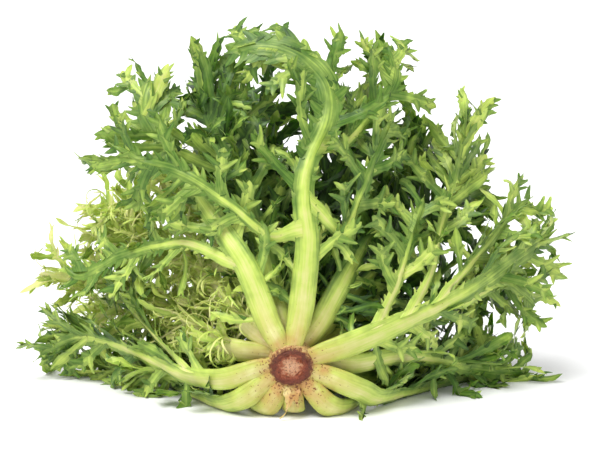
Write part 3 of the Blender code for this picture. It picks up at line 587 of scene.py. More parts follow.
# Each leaf: name, ring, clock angle in degrees from the top as seen from the cut end, route, width scale,
# number of lobes, length of the lobes in mm, twist in degrees, and side ribs as (row, side, route)
def leaves():
    return [
        ("outer_leaf_top", 1, 5, on_head((4, 4, 50), (6, 5, 65), (8, 6, 89), (6, 10, 111), (9, 16, 127),
                                         (18, 24, 147), (16, 32, 164), (1, 38, 177), (-18, 42, 180),
                                         (-37, 47, 174)), 1.0, 12, 30, 0,
         [(4, -1, on_head((-11, 10, 91), (-30, 12, 106), (-53, 18, 120), (-74, 26, 125), (-90, 34, 133))),
          (5, 1, on_head((25, 12, 92), (34, 20, 109), (43, 32, 129), (52, 44, 147))),
          (8, 1, on_head((26, 28, 133), (38, 38, 144), (52, 50, 163), (48, 58, 180)))]),
        ("outer_leaf_right", 1, 68, on_head((27, 5, 37), (49, 13, 44), (69, 24, 50), (90, 38, 57),
                                            (111, 52, 68), (126, 62, 76), (137, 70, 82)), 1.05, 11, 30, 0,
         [(3, -1, on_head((53, 22, 66), (60, 32, 87), (67, 44, 105))),
          (5, -1, on_head((70, 32, 68), (75, 44, 88), (82, 55, 106), (88, 66, 130), (90, 74, 148))),
          (7, -1, on_head((95, 46, 74), (112, 58, 92), (124, 66, 100))),
          (8, 1, on_head((108, 58, 56), (120, 66, 49), (128, 72, 40)))]),
        ("outer_leaf_lower_right", 1, 108, on_head((27, 4, 18), (35, 8, 13.5), (43, 18, 7), (58, 38, 3.5),
                                                   (80, 60, 2.5), (102, 78, 2.5), (118, 92, 3)),
         1.0, 8, 24, 0, []),
        ("outer_leaf_under_right", 1, 141, on_head((15.5, 5, 8.6), (21, 8.5, 4.6), (30, 20, 2.8), (44, 56, 2),
                                                   (60, 94, 2), (72, 130, 4)), 0.98, 8, 24, 0, []),
        ("outer_leaf_under", 1, 176, on_head((1.2, 5, 8), (1.2, 8, 4.3), (1.4, 20, 2.2), (1.5, 34, 0.4),
                                             (2.5, 60, 0.4), (4, 90, 2), (4, 122, 3.4), (3, 150, 6)),
         0.9, 9, 24, 0, []),
        ("outer_leaf_under_left", 1, 205, on_head((-9.6, 5, 8.6), (-12.5, 8.5, 4.4), (-19, 20, 2.8),
                                                  (-32, 56, 2), (-44, 92, 2), (-54, 128, 4)),
         0.95, 8, 24, 0, []),
        ("outer_leaf_lower_left", 1, 235, on_head((-20, 4, 13), (-27, 8.5, 8), (-36, 20, 3.6), (-54, 46, 2.2),
                                                  (-74, 76, 2.2), (-92, 104, 3)), 0.98, 8, 24, 0, []),
        ("outer_leaf_left", 1, 269, on_head((-26, 4, 22), (-38, 9, 19), (-54, 22, 18), (-72, 40, 21),
                                            (-93, 57, 25), (-110, 67, 25), (-124, 74, 18), (-136, 80, 9)),
         1.0, 10, 28, 0,
         [(4, 1, on_head((-75, 50, 37), (-88, 62, 50), (-101, 74, 62)))]),
        ("outer_leaf_upper_left", 1, 330, on_head((-13, 4, 54), (-22, 8, 76), (-32, 15, 90), (-42, 24, 103),
                                                  (-53, 36, 116), (-65, 47, 132), (-74, 56, 148),
                                                  (-70, 64, 165)),
         1.0, 11, 28, 0,
         [(4, -1, on_head((-50, 24, 84), (-68, 36, 80), (-88, 48, 72), (-108, 60, 60), (-119, 66, 66)))]),
        ("second_leaf_upper_right", 2, 38, on_head((16, 13, 50), (25, 20, 65), (34, 36, 76), (46, 54, 90),
                                                   (60, 72, 108), (72, 88, 126)), 0.95, 9, 28, 0, []),
        ("second_leaf_right", 2, 89, on_head((30, 12, 26), (51, 25, 26), (71, 44, 20), (93, 60, 11),
                                             (110, 70, 6), (128, 78, 3)), 0.9, 9, 25, 0, []),
        ("second_leaf_lower_left", 2, 249, on_head((-24, 13, 21), (-40, 24, 15), (-62, 42, 11), (-84, 64, 8),
                                                   (-106, 88, 7)), 0.9, 8, 24, 0, []),
        ("second_leaf_left", 2, 283, on_head((-30, 15, 33), (-44, 30, 38), (-60, 50, 43), (-81, 68, 49),
                                             (-106, 84, 54), (-128, 96, 55)), 0.95, 9, 26, 0, []),
        ("second_leaf_upper_left", 2, 312, on_head((-20, 13, 44), (-29, 24, 54), (-42, 40, 64), (-60, 58, 74),
                                                   (-80, 74, 86), (-102, 88, 94)), 0.9, 8, 26, 0, []),
        ("second_leaf_top", 2, 347, on_head((-8, 14, 58), (-16, 22, 90), (-26, 30, 118), (-38, 38, 142),
                                            (-46, 46, 160)), 0.95, 10, 28, 0, []),
        ("third_leaf_top", 3, 344, fanned(-15, 60, 152, 6, 0), 0.85, 9, 27, 0, []),
        ("third_leaf_top_right", 3, 23, fanned(28, 57, 148, 8, -4), 0.85, 9, 27, 0, []),
        ("third_leaf_right", 3, 56, fanned(56, 38, 150, 10, 5), 0.85, 9, 27, 0, []),
        ("third_leaf_lower_right", 3, 124, on_head((20, 26, 20), (38, 38, 12), (62, 58, 8), (88, 80, 7),
                                                   (110, 102, 8)), 0.8, 8, 24, 0, []),
        ("third_leaf_under_left", 3, 204, on_head((-6, 26, 15), (-14, 42, 10), (-24, 68, 8), (-34, 98, 8),
                                                  (-40, 128, 10)), 0.8, 8, 24, 0, []),
        ("third_leaf_lower_left", 3, 257, on_head((-20, 26, 26), (-38, 44, 26), (-62, 70, 27), (-88, 96, 30),
                                                  (-108, 116, 34)), 0.8, 8, 25, 0, []),
        ("third_leaf_upper_left", 3, 316, on_head((-14, 20, 48), (-22, 30, 64), (-32, 46, 78), (-44, 62, 92),
                                                  (-58, 78, 108), (-72, 92, 124)), 0.9, 9, 26, 0, []),
        ("inner_leaf_top", 4, 340, fanned(-30, 50, 142, 8, 5), 0.72, 7, 25, 0, []),
        ("inner_leaf_upper_right", 4, 38, fanned(34, 36, 142, 8, -6), 0.72, 7, 25, 0, []),
        ("inner_leaf_right", 4, 92, fanned(60, 16, 142, 10, 0), 0.72, 7, 24, 0, []),
        ("inner_leaf_lower_right", 4, 150, fanned(24, 5, 142, 4, 4), 0.72, 6, 24, 0, []),
        ("inner_leaf_lower_left", 4, 214, fanned(-20, 12, 142, 6, -4), 0.72, 6, 24, 0, []),
        ("inner_leaf_left", 4, 284, fanned(-56, 26, 140, 8, 4), 0.72, 7, 24, 0, []),
        ("heart_leaf_top", 5, 0, fanned(2, 42, 124, 6, 4), 0.6, 6, 22, 0, []),
        ("heart_leaf_right", 5, 92, fanned(18, 22, 124, 6, 4), 0.6, 6, 22, 0, []),
        ("heart_leaf_lower", 5, 184, fanned(0, 10, 124, 6, -4), 0.6, 6, 22, 0, []),
        ("heart_leaf_left", 5, 276, fanned(-26, 30, 122, 6, 4), 0.6, 6, 22, 0, []),
    ]


def off_stem(place):
    """How far a place is from the stem's side, or from the plane of its cut face in front of that."""
    along = (place - CUT_PLACE).dot(AXIS)
    away = (place - CUT_PLACE - AXIS * along).length
    side = [(reach * MM, radius * MM) for reach, radius in reversed(STEM_OUTLINE[:10])]
    return max(away - between(side, along), -along, along - side[-1][0])


def leaf_rib(ring, clock, route, scale, lobes, twist):
    """The main rib of a leaf, from its foot on the stem along its route."""
    along, radius, lean = RINGS[ring]
    outward = UPWARD * math.cos(math.radians(clock)) + RIGHT * math.sin(math.radians(clock))
    first = outward * math.cos(lean) + AXIS * math.sin(lean)
    petiole = PETIOLE_CUTS if ring > 1 else LONG_PETIOLE_CUTS
    start = petiole[-1] + (petiole[-1] - petiole[-2]) * 0.7
    cuts = (*petiole, *(start + (LAST_LOBE_CUT - start) * k / lobes for k in range(lobes + 1)), 1.0)
    foot = CUT_PLACE + AXIS * along + outward * radius
    while True:
        points = smooth_line([foot, foot + first * 6 * MM, *route], RIB_STATIONS)
        facing = outward * math.sin(lean) - AXIS * math.cos(lean)
        normals = carried_normals(points, facing, math.radians(twist))
        rib = Frond(points, normals, RIB_HALF_WIDTH, RIB_HALF_DEPTH, cuts, True, scale)
        if min(off_stem(place) for place in skeleton_faces(rib)[0]) > STEM_GAP:
            return rib
        foot = foot + outward * 0.2 * MM


def side_rib(parent, row, side, route):
    """A long rib that leaves another rib's edge and carries lobes of its own."""
    left, right = edge_of(parent, row, side)
    middle = (left + right) / 2
    points = smooth_line([middle, *route], RIB_STATIONS)
    _, _, _, normal = parent.at((parent.cuts[row] + parent.cuts[row + 1]) / 2)
    cuts = (0.0, 0.12, *(0.24 + 0.70 * k / 6 for k in range(7)), 1.0)
    return Frond(points, carried_normals(points, normal), SIDE_RIB_HALF_WIDTH, SIDE_RIB_HALF_DEPTH, cuts)


def lobe_on(parent, row, side, length, draw, attempt):
    """A toothed lobe from the parent's edge, as the draw says, changed as the attempt says."""
    lift, turn, share = attempt
    left, right = edge_of(parent, row, side)
    start = (left + right) / 2
    _, ahead, rightward, normal = parent.at((parent.cuts[row] + parent.cuts[row + 1]) / 2)
    open_angle = draw["open"] + math.radians(turn)
    tilt = draw["lift"] + math.radians(lift)
    level = rightward * side * math.sin(open_angle) + ahead * math.cos(open_angle)
    first = Quaternion(ahead, -tilt * side) @ level
    blade = Quaternion(ahead, -tilt * side) @ normal
    blade = (blade - first * blade.dot(first)).normalized()
    points, normals = wander(start, first, blade, length * share, draw["turn"] * side, draw["curl"],
                             draw["twist"], draw["ripple"], draw["phase"])
    lobe = Frond(points, normals, LOBE_HALF_WIDTH, BLADE_HALF_DEPTH, LOBE_CUTS, False, 0.75 + 0.35 * share)
    for tooth_row, tooth_side, reach in draw["teeth"]:
        tip = tooth_tip(lobe, tooth_row, tooth_side, reach * share * MM, 0.9)
        lobe.teeth.append((tooth_row, tooth_side, tip))
    return lobe


def draw_lobe(chance, teeth, wildness):
    """One lobe's own angles, drawn before it is tried, so that a failed try changes nothing later."""
    return {
        "open": math.radians(chance.uniform(42, 66)),
        "lift": math.radians(chance.uniform(-38, 38)) * wildness,
        "turn": math.radians(chance.uniform(-30, 45)),
        "curl": math.radians(chance.uniform(-75, 60)) * wildness,
        "twist": math.radians(chance.uniform(-70, 70)) * wildness,
        "ripple": math.radians(chance.uniform(10, 45)) * wildness,
        "phase": chance.uniform(0, 2 * math.pi),
        "size": chance.uniform(0.8, 1.15),
        "teeth": [(row, side, chance.uniform(4.2, 7.2)) for row, side in TOOTH_PLACES[:teeth]],
    }


def lobe_rows(frond):
    """The rows of a rib that carry lobes, with a side for each, by turns."""
    first = next(k for k, cut in enumerate(frond.cuts) if cut > 0.2)
    return [(row, 1 if row % 2 else -1) for row in range(first, len(frond.cuts) - 2)]


def crossings(leaf):
    """How many faces of a leaf's solid cross each other, not counting faces that meet at a corner."""
    sheet = Sheet()
    sheet.add(leaf)
    points, triangles = solid_faces(sheet)
    count = len(sheet.points)
    edges = {}
    for corners in sheet.triangles():
        for a, b in zip(corners, (*corners[1:], corners[0])):
            edges[min(a, b), max(a, b)] = edges.get((min(a, b), max(a, b)), 0) + 1
    rims = [edge for edge, uses in edges.items() if uses == 1]
    triangles += [(a, b, b + count) for a, b in rims] + [(a, b + count, a + count) for a, b in rims]
    tree = BVHTree.FromPolygons(points, triangles)
    return sum(1 for a, b in tree.overlap(tree) if a < b and not set(triangles[a]) & set(triangles[b]))


def grow_lobes(leaf, rib, length, ring, chance, others, own):
    """Adds lobes and edge teeth to a rib, clear of the other leaves and of the rest of its own leaf."""
    taken = {(row, side) for row, side, _ in rib.shoots}
    allowed = crossings(leaf)
    for row, side in lobe_rows(rib):
        draw = draw_lobe(chance, TEETH_BY_RING[ring], WILDNESS_BY_RING[ring])
        if (row, side) not in taken:
            place = rib.cuts[row]
            reach = length * MM * draw["size"] * (1.12 - 0.62 * abs(place - 0.5) / 0.5)
            for attempt in LOBE_TRIES:
                lobe = lobe_on(rib, row, side, reach, draw, attempt)
                sheet = sheet_of(lobe, row, side, rib)
                if not inside_head(sheet) or others.meets(sheet, CLEARANCE):
                    continue
                if own.meets(sheet, OWN_CLEARANCE, edge_of(rib, row, side)):
                    continue
                rib.shoots.append((row, side, lobe))
                if crossings(leaf) > allowed:
                    rib.shoots.pop()
                    continue
                own.add(*solid_faces(sheet))
                break
        small = chance.uniform(2.4, 4.6) * MM
        tooth = Sheet()
        tip = tooth_tip(rib, row, -side, small, 0.7)
        corners = (*edge_of(rib, row, -side), tip)
        tooth.faces.append([tooth.point(place, BLADE_HALF_DEPTH) for place in corners])
        if (row, -side) not in taken and not others.meets(tooth, CLEARANCE):
            rib.teeth.append((row, -side, tip))
            if crossings(leaf) > allowed:
                rib.teeth.pop()


def grow_head(stem):
    """All the leaves, as pairs of a name and a main rib that carries everything else of its leaf."""
    made = []
    for number, (name, ring, clock, route, scale, lobes, length, twist, side_ribs) in enumerate(leaves()):
        rib = leaf_rib(ring, clock, route, scale, lobes, twist)
        for row, side, side_route in side_ribs:
            rib.shoots.append((row, side, side_rib(rib, row, side, side_route)))
        made.append((name, rib, length, ring, random.Random(GROWTH_SEED + number)))
    crowd = {name: skeleton_faces(rib) for name, rib, *_ in made}
    for name, rib, length, ring, chance in made:
        others, own = Crowd(), Crowd()
        others.add(*stem)
        for other, faces in crowd.items():
            if other != name:
                others.add(*faces)
        own.add(*crowd[name])
        for _, _, shoot in list(rib.shoots):
            grow_lobes(rib, shoot, length * 0.85, ring, chance, others, own)
        grow_lobes(rib, rib, length, ring, chance, others, own)
        whole = Sheet()
        whole.add(rib)
        crowd[name] = solid_faces(whole)
    return [(name, rib) for name, rib, *_ in made]


def skeleton_faces(rib):
    """The outer faces of a leaf's ribs, before any lobe has grown."""
    sheet = Sheet()
    sheet.add(rib)
    return solid_faces(sheet)


@dataclass
class Look:
    """How one leaf looks: the greenness of its rib and of its blade, how many fine fronds and broad fill
    blades its rib carries, how many of the fronds are curly threads, how dry its tips are, how freckled its
    foot is, how far its fronds turn inwards and outwards in degrees, how broad they are, how much further
    apart its rings of points are than on a leaf that shows, what share of its rib has no fronds, how much
    broader its end is, what share of its rib stays pale, and how slender its lobes are."""

    rib_green: float
    blade_green: float
    fronds: int
    fill: int
    thread: float
    dry: float = 0.0
    freckled: float = 0.5
    lift: tuple = (-80, 80)
    broad: float = 1.0
    coarse: float = 1.0
    bare: float = 0.1
    wing: float = 1.0
    pale: float = 0.25
    slender: float = 1.0


FLAT = (-62, 6)
# The deep blade greens of the back leaves and of the third-ring, inner and heart leaves are partly their own
# colour and partly painted shade for the dark inside of the head
LOOKS = {
    "outer_leaf_top": Look(0.24, 0.64, 16, 0, 0.0, 0, 0.6, FLAT, 1.3, wing=1.5, pale=0.34),
    "outer_leaf_right": Look(0.21, 0.57, 18, 0, 0.0, 0, 0.6, FLAT, 1.3, wing=1.15, pale=0.4),
    "outer_leaf_lower_right": Look(0.22, 0.66, 26, 8, 0.1, 0, 0.9, FLAT, 1.15, bare=0.3, pale=0.35),
    "outer_leaf_under_right": Look(0.22, 0.74, 26, 10, 0.15, 0, 1.25, bare=0.34),
    "outer_leaf_under": Look(0.2, 0.74, 26, 10, 0.2, 0, 1.5, bare=0.4),
    "outer_leaf_under_left": Look(0.22, 0.78, 26, 10, 0.2, 0, 1.3, bare=0.34),
    "outer_leaf_lower_left": Look(0.22, 0.72, 30, 10, 0.2, 0, 0.9, FLAT, 1.15, bare=0.3, pale=0.35),
    "outer_leaf_left": Look(0.2, 0.64, 26, 0, 0.1, 0, 0.9, FLAT, 1.2, bare=0.22, pale=0.56),
    "outer_leaf_upper_left": Look(0.23, 0.60, 18, 0, 0.0, 0, 0.6, FLAT, 1.3, wing=1.2, pale=0.34),
    "second_leaf_upper_right": Look(0.22, 0.80, 40, 22, 0.15, 0, 0.5, (-80, 30), 1.15, 1.15),
    "second_leaf_right": Look(0.18, 0.68, 40, 10, 0.15, 0, 0.5, (-80, 40), 1.0, 1.2, bare=0.24, pale=0.4),
    "second_leaf_lower_left": Look(0.24, 0.54, 50, 14, 0.4, 0, 0.5, (-80, 80), 1.0, 1.15, bare=0.2),
    # The pale tones of these curly left leaves are partly their own yellow-green and partly painted light,
    # which lifts the shade they lie in
    "second_leaf_left": Look(0.10, 0.33, 140, 3, 0.9, 0.14, 0.5, (-40, 85), 1.0, 1.2, slender=0.6),
    "second_leaf_upper_left": Look(0.08, 0.33, 140, 3, 0.9, 0.1, 0.5, (-40, 85), 1.0, 1.2, slender=0.6),
    "second_leaf_top": Look(0.34, 0.75, 42, 26, 0.05, coarse=1.3),
    "third_leaf_top": Look(0.34, 0.86, 44, 28, 0.1, coarse=1.3),
    "third_leaf_top_right": Look(0.30, 0.90, 44, 28, 0.1, coarse=1.3),
    "third_leaf_right": Look(0.28, 0.86, 44, 26, 0.1, coarse=1.3),
    "third_leaf_lower_right": Look(0.30, 0.80, 40, 16, 0.2, coarse=1.3),
    "third_leaf_under_left": Look(0.30, 0.78, 36, 12, 0.3, coarse=1.4),
    # The near-white ribs and pale blades of these left leaves are partly their own blanched colour and partly
    # painted light, which lifts the shade they lie in
    "third_leaf_lower_left": Look(0.03, 0.33, 116, 8, 0.85, lift=(-40, 85), coarse=1.3, slender=0.65),
    "third_leaf_upper_left": Look(0.01, 0.32, 118, 8, 0.88, lift=(-40, 85), coarse=1.3, slender=0.65),
    "inner_leaf_top": Look(0.30, 0.92, 34, 26, 0.2, coarse=1.95),
    "inner_leaf_upper_right": Look(0.26, 0.90, 34, 26, 0.2, coarse=1.95),
    "inner_leaf_right": Look(0.24, 0.86, 34, 22, 0.3, coarse=1.95),
    "inner_leaf_lower_right": Look(0.22, 0.80, 28, 16, 0.3, coarse=2.0),
    "inner_leaf_lower_left": Look(0.20, 0.62, 40, 18, 0.4, coarse=2.0),
    "inner_leaf_left": Look(0.16, 0.36, 88, 20, 0.8, coarse=1.6),
    "heart_leaf_top": Look(0.14, 0.76, 30, 20, 0.4, coarse=2.2),
    "heart_leaf_right": Look(0.14, 0.72, 26, 18, 0.4, coarse=2.2),
    "heart_leaf_lower": Look(0.12, 0.62, 24, 12, 0.5, coarse=2.2),
    "heart_leaf_left": Look(0.12, 0.42, 50, 14, 0.6, coarse=1.95),
}


@dataclass
class Kind:
    """A kind of blade: its half widths, section, step between rings and numbers of fingers, how deep it
    starts inside what carries it, how far it flares there, and its least and greatest length in mm."""

    widths: tuple
    section: tuple
    step: float
    fingers: tuple
    inset: float = 0.5 * MM
    flare: float = 0.6 * MM
    reach: tuple = ()


KINDS = {
    "lobe": Kind(FINE_LOBE_WIDTH, LOBE_SECTION, LOBE_RING_STEP, (2, 4), 2.6 * MM, 2.0 * MM),
    "slender_lobe": Kind(FINE_LOBE_WIDTH, LOBE_SECTION, LOBE_RING_STEP, (4, 7), 2.6 * MM, 2.0 * MM),
    "frond": Kind(FROND_WIDTH, FROND_SECTION, FROND_RING_STEP, (2, 4), reach=(12, 30)),
    "sprig": Kind(FROND_WIDTH, FROND_SECTION, FROND_RING_STEP, (1, 3), reach=(8, 17)),
    "thread": Kind(THREAD_WIDTH, FROND_SECTION, THREAD_RING_STEP, (1, 3), reach=(13, 28)),
    "fill": Kind(FILL_WIDTH, FROND_SECTION, FILL_RING_STEP, (3, 6), reach=(22, 42)),
    "aimed": Kind(FILL_WIDTH, FROND_SECTION, FILL_RING_STEP, (5, 9), flare=0.8 * MM),
}


@dataclass
class Ring:
    """One ring of points round a blade: its middle, its directions, how far it reaches to the left and
    right, its half thickness and section, its greenness in the middle and at the edges, its ruffle, foot
    and dryness."""

    place: Vector
    right: Vector
    normal: Vector
    left_reach: float
    right_reach: float
    depth: float
    section: tuple
    middle_green: float
    edge_green: float
    ruffle: float = 0.0
    foot: float = 0.0
    dry: float = 0.0


class Tissue:
    """One leaf's fine surface: closed blades, with a tone and a place on its blade for every point."""

    def __init__(self):
        self.points = []
        self.faces = []
        self.tones = []
        self.places = []

    def sweep(self, rings, luck=None):
        """Joins rings of points into one closed blade, whose luck makes it paler or greener."""
        first = len(self.points)
        luck = (first * LUCK_STEP) % 1.0 if luck is None else luck
        along = 0.0
        last = rings[0].place
        for ring in rings:
            along += (ring.place - last).length
            last = ring.place
            for across, up in ring.section:
                reach = across * (ring.right_reach if across > 0 else ring.left_reach)
                height = up * ring.depth + across * ring.ruffle
                point = ring.place + ring.right * reach + ring.normal * height
                self.points.append((point.x, point.y, max(point.z, LOWEST)))
                green = mixed(ring.middle_green, ring.edge_green, eased(*EDGE_TONE, abs(across)))
                self.tones.append((green, ring.foot, ring.dry, luck))
                self.places.append((reach / MM, along / MM))
        count = len(rings[0].section)
        for ring in range(len(rings) - 1):
            low = first + ring * count
            high = low + count
            for k in range(count):
                onward = (k + 1) % count
                self.faces.append((low + k, low + onward, high + onward, high + k))
        end = first + (len(rings) - 1) * count
        self.faces.append(tuple(range(first + count - 1, first - 1, -1)))
        self.faces.append(tuple(range(end, end + count)))


def mixed(first, second, share):
    return first + (second - first) * share


def eased(low, high, value):
    """0 at low and before it, 1 at high and past it, and smooth between."""
    share = min(max((value - low) / (high - low), 0.0), 1.0)
    return share * share * (3 - 2 * share)


class Teeth:
    """A row of teeth along an edge that lean forward, each with a size of its own."""

    def __init__(self, chance, pitch):
        self.pitch = pitch * chance.uniform(0.8, 1.25)
        self.phase = chance.random()
        self.sizes = [chance.uniform(0.25, 1.0) for _ in range(12)]

    def height(self, along):
        place = along / self.pitch + self.phase
        part = place % 1.0
        size = self.sizes[int(place) % len(self.sizes)]
        return size * (part / 0.7) ** 1.5 if part < 0.7 else size * (1 - part) / 0.3


def stations(points, normals, step, inset=0.0, root=None):
    """Rings' middles, directions to the right and normals at even steps, from a little before the line's
    start. The first rings lie in the plane of what carries them, if its two directions are given."""
    length = sum((b - a).length for a, b in zip(points, points[1:]))
    count = max(6, round((length + inset) / step))
    line = Frond(points, normals, ((0, 1), (1, 1)), 0.0, ())
    found = []
    for i in range(count + 1):
        along = (length + inset) * i / count - inset
        place, ahead, right, normal = line.at(along / length)
        if along < 0:
            place = place + ahead * along
        if root is not None:
            free = eased(0.0, ROOT_REACH, along)
            right, normal = root[0].lerp(right, free).normalized(), root[1].lerp(normal, free).normalized()
        found.append((place, right, normal, max(along, 0.0), max(along / length, 0.0)))
    return found


def rib_tone(look, share):
    """The greenness of a leaf's rib at a share of its length, in its middle and along its wings."""
    stalk = mixed(min(FOOT_GREEN, look.rib_green), look.rib_green, eased(0.0, 0.25, share))
    middle = mixed(stalk, look.blade_green, eased(look.pale, look.pale + 0.4, share) * 0.9)
    edge = min(WING_GREEN, look.rib_green + 0.15)
    wing = mixed(edge, look.blade_green, eased(look.pale * 0.2, look.pale + 0.2, share))
    return middle, wing


def broadened(look, share, main):
    """How much broader a rib is at a share of its length, if it is a main rib with a broad end."""
    return mixed(1.0, look.wing, eased(*BROAD_END, share)) if main else 1.0


def is_rib(frond):
    """True for a rib, whose thickness changes along it, and false for a lobe."""
    return isinstance(frond.half_depth, tuple)


def drawn_foot(rib):
    """A rib's line and normals, which start inside the stem and go straight out of it."""
    last = 5
    points, normals = list(rib.points), list(rib.normals)
    away = points[0] - CUT_PLACE
    away -= AXIS * away.dot(AXIS)
    points[0] = points[0] - away.normalized() * FOOT_INSET + AXIS * FOOT_SETBACK
    for k in range(1, last):
        points[k] = points[0].lerp(points[last], k / last)
        normals[k] = normals[0].lerp(normals[last], k / last).normalized()
    for _ in range(3):
        points[2:9] = [(a + b * 2 + c) / 4 for a, b, c in zip(points[1:], points[2:9], points[3:])]
    return points, normals


def dress_hooks(tissue, rib, look, chance, main, from_share):
    """Small hooked teeth along both edges of a rib's wings, longer towards its tip."""
    length = sum((b - a).length for a, b in zip(rib.points, rib.points[1:]))
    for side in (-1, 1):
        along = length * (max(0.2, look.bare) if main else 0.06)
        while along < length * 0.96:
            share = along / length
            place, ahead, right, normal = rib.at(share)
            angle = math.radians(chance.uniform(48, 80))
            toward = ahead * math.cos(angle) + right * side * math.sin(angle)
            toward += normal * chance.uniform(-0.3, 0.2)
            size = eased(0.2, 0.75, share)
            reach = mixed(*HOOK_REACH, size) * chance.uniform(0.5, 1.4) * MM
            start = place + right * side * rib.width_at(share) * broadened(look, share, main) * 0.72
            green = rib_tone(look, from_share + share * (1 - from_share))[1]
            bend = ahead * chance.uniform(0.1, 0.6) + normal * chance.uniform(-0.3, 0.3)
            width = mixed(*HOOK_WIDTH, size) * chance.uniform(0.8, 1.4) * (look.wing if main else 1.0) * MM
            dress_finger(tissue, start, toward.normalized(), normal, bend, reach, width, green, 0.0)
            along += chance.uniform(*HOOK_GAP) * MM


def dress_rib(tissue, rib, look, chance, main, from_share=0.0, root=None):
    """A rib's own surface: a stalk, round outside and hollowed inside, that grows thin toothed wings."""
    teeth = (Teeth(chance, RIB_TOOTH_PITCH), Teeth(chance, RIB_TOOTH_PITCH))
    wave = chance.uniform(0, 6)
    rings = []
    line = drawn_foot(rib) if main else (rib.points, rib.normals)
    inset = 0.0 if main else SIDE_RIB_INSET
    for place, right, normal, along, share in stations(*line, RIB_RING_STEP * look.coarse, inset, root):
        winged = eased(*WINGS_OPEN[main], share)
        section = [(mixed(a, c, winged), mixed(b, d, winged))
                   for (a, b), (c, d) in zip(STALK_SECTION, WINGED_SECTION)]
        if main:
            width = between(FINE_RIB_WIDTH, share) * MM * rib.width_scale * broadened(look, share, main)
            depth = rib.depth_at(share) * mixed(1.12, 1.0, winged) * mixed(1.0, 0.6, eased(0.45, 0.7, share))
        else:
            width = rib.width_at(share) * 0.86 + SIDE_RIB_FLARE * math.exp(-along / SIDE_RIB_FLARE_REACH)
            depth = max(rib.depth_at(share), 0.95 * MM * (1 - share))
        bite = mixed(0.6, 2.2, eased(0.35, 0.7, share)) * MM * eased(0.2, 0.34, share) * (1 - share ** 5)
        narrow = 1 - eased(0.93, 1.0, share)
        left, onward = (max((width + tooth.height(along) * bite) * narrow, 0.1 * MM) for tooth in teeth)
        lift = 0.6 * MM * winged * math.sin(along / (3.4 * MM) + wave)
        middle, wing = rib_tone(look, from_share + share * (1 - from_share))
        foot = look.freckled * math.exp(-max(along - FOOT_INSET, 0.0) / FOOT_FADE) if main else 0.0
        depth = max(depth * narrow, THINNEST)
        rings.append(Ring(place, right, normal, left, onward, depth, section, middle, wing, lift, foot))
    tissue.sweep(rings, RIB_LUCK)
    dress_hooks(tissue, rib, look, chance, main, from_share)


def dress_finger(tissue, start, toward, normal, bend, length, width, green, dry):
    """A pointed finger that bends as it goes."""
    side = toward.cross(normal).normalized()
    count = max(3, min(6, round(length / (1.2 * MM))))
    rings = []
    for i in range(count + 1):
        share = i / count
        place = start + toward * length * share + bend * length * share * share
        half = between(FINGER_WIDTH, share) * width
        depth = FINGER_HALF_DEPTH * (1 - share * 0.6)
        rings.append(Ring(place, side, normal, half, half, depth, FINGER_SECTION, green, green, 0.0, 0.0,
                          dry * share))
    tissue.sweep(rings)


def dress_blade(tissue, lobe, root_green, look, chance, kind, dry, root=None):
    """A blade along a frond's line, with toothed ruffled edges, and fingers along both of them."""
    kind = KINDS[kind]
    fingers = chance.randint(*kind.fingers)
    teeth = (Teeth(chance, BLADE_TOOTH_PITCH), Teeth(chance, BLADE_TOOTH_PITCH))
    wave = chance.uniform(0, 6)
    pitch = chance.uniform(2.0, 3.4) * MM
    depth = chance.uniform(0.19, 0.27) * MM
    slim = lobe.width_scale * (look.slender if kind.section is LOBE_SECTION else 1.0)
    along_line = stations(lobe.points, lobe.normals, kind.step * look.coarse, kind.inset, root)
    rings = []
    for place, right, normal, along, share in along_line:
        width = between(kind.widths, share) * MM * slim
        base = kind.flare * math.exp(-along / (2.8 * MM))
        bite = min(1.9 * MM, width * 1.1) * eased(0.1, 0.4, share) * (1 - share ** 3)
        left, onward = (width + base + bite * tooth.height(along) for tooth in teeth)
        edge = mixed(root_green, look.blade_green, eased(-0.2, 0.4, share))
        lift = 0.3 * width * eased(0.15, 0.5, share) * math.sin(along / pitch + wave)
        rings.append(Ring(place, right, normal, left, onward, depth * (1.6 - share), kind.section,
                          mixed(root_green, edge * 0.72, eased(0.0, 0.6, share)), edge, lift, 0.0,
                          dry * eased(0.6, 1.0, share)))
    tissue.sweep(rings)
    for _ in range(fingers):
        share = chance.uniform(0.3, 0.95)
        side = chance.choice((-1, 1))
        place, right, normal, _, at = along_line[min(int(share * len(along_line)), len(along_line) - 1)]
        ahead = normal.cross(right).normalized()
        angle = math.radians(chance.uniform(22, 56))
        toward = ahead * math.cos(angle) + right * side * math.sin(angle) + normal * chance.uniform(-0.4, 0.4)
        half = between(kind.widths, at) * MM * slim
        reach = chance.uniform(2.6, 5.6) * MM * mixed(1.0, 0.75, share) + half * 0.5
        bend = ahead * chance.uniform(-0.1, 0.4) + normal * chance.uniform(-0.4, 0.4)
        dress_finger(tissue, place + right * side * half * 0.3, toward.normalized(), normal, bend, reach,
                     min(chance.uniform(0.7, 1.3) * MM, half * 0.9), look.blade_green, dry)


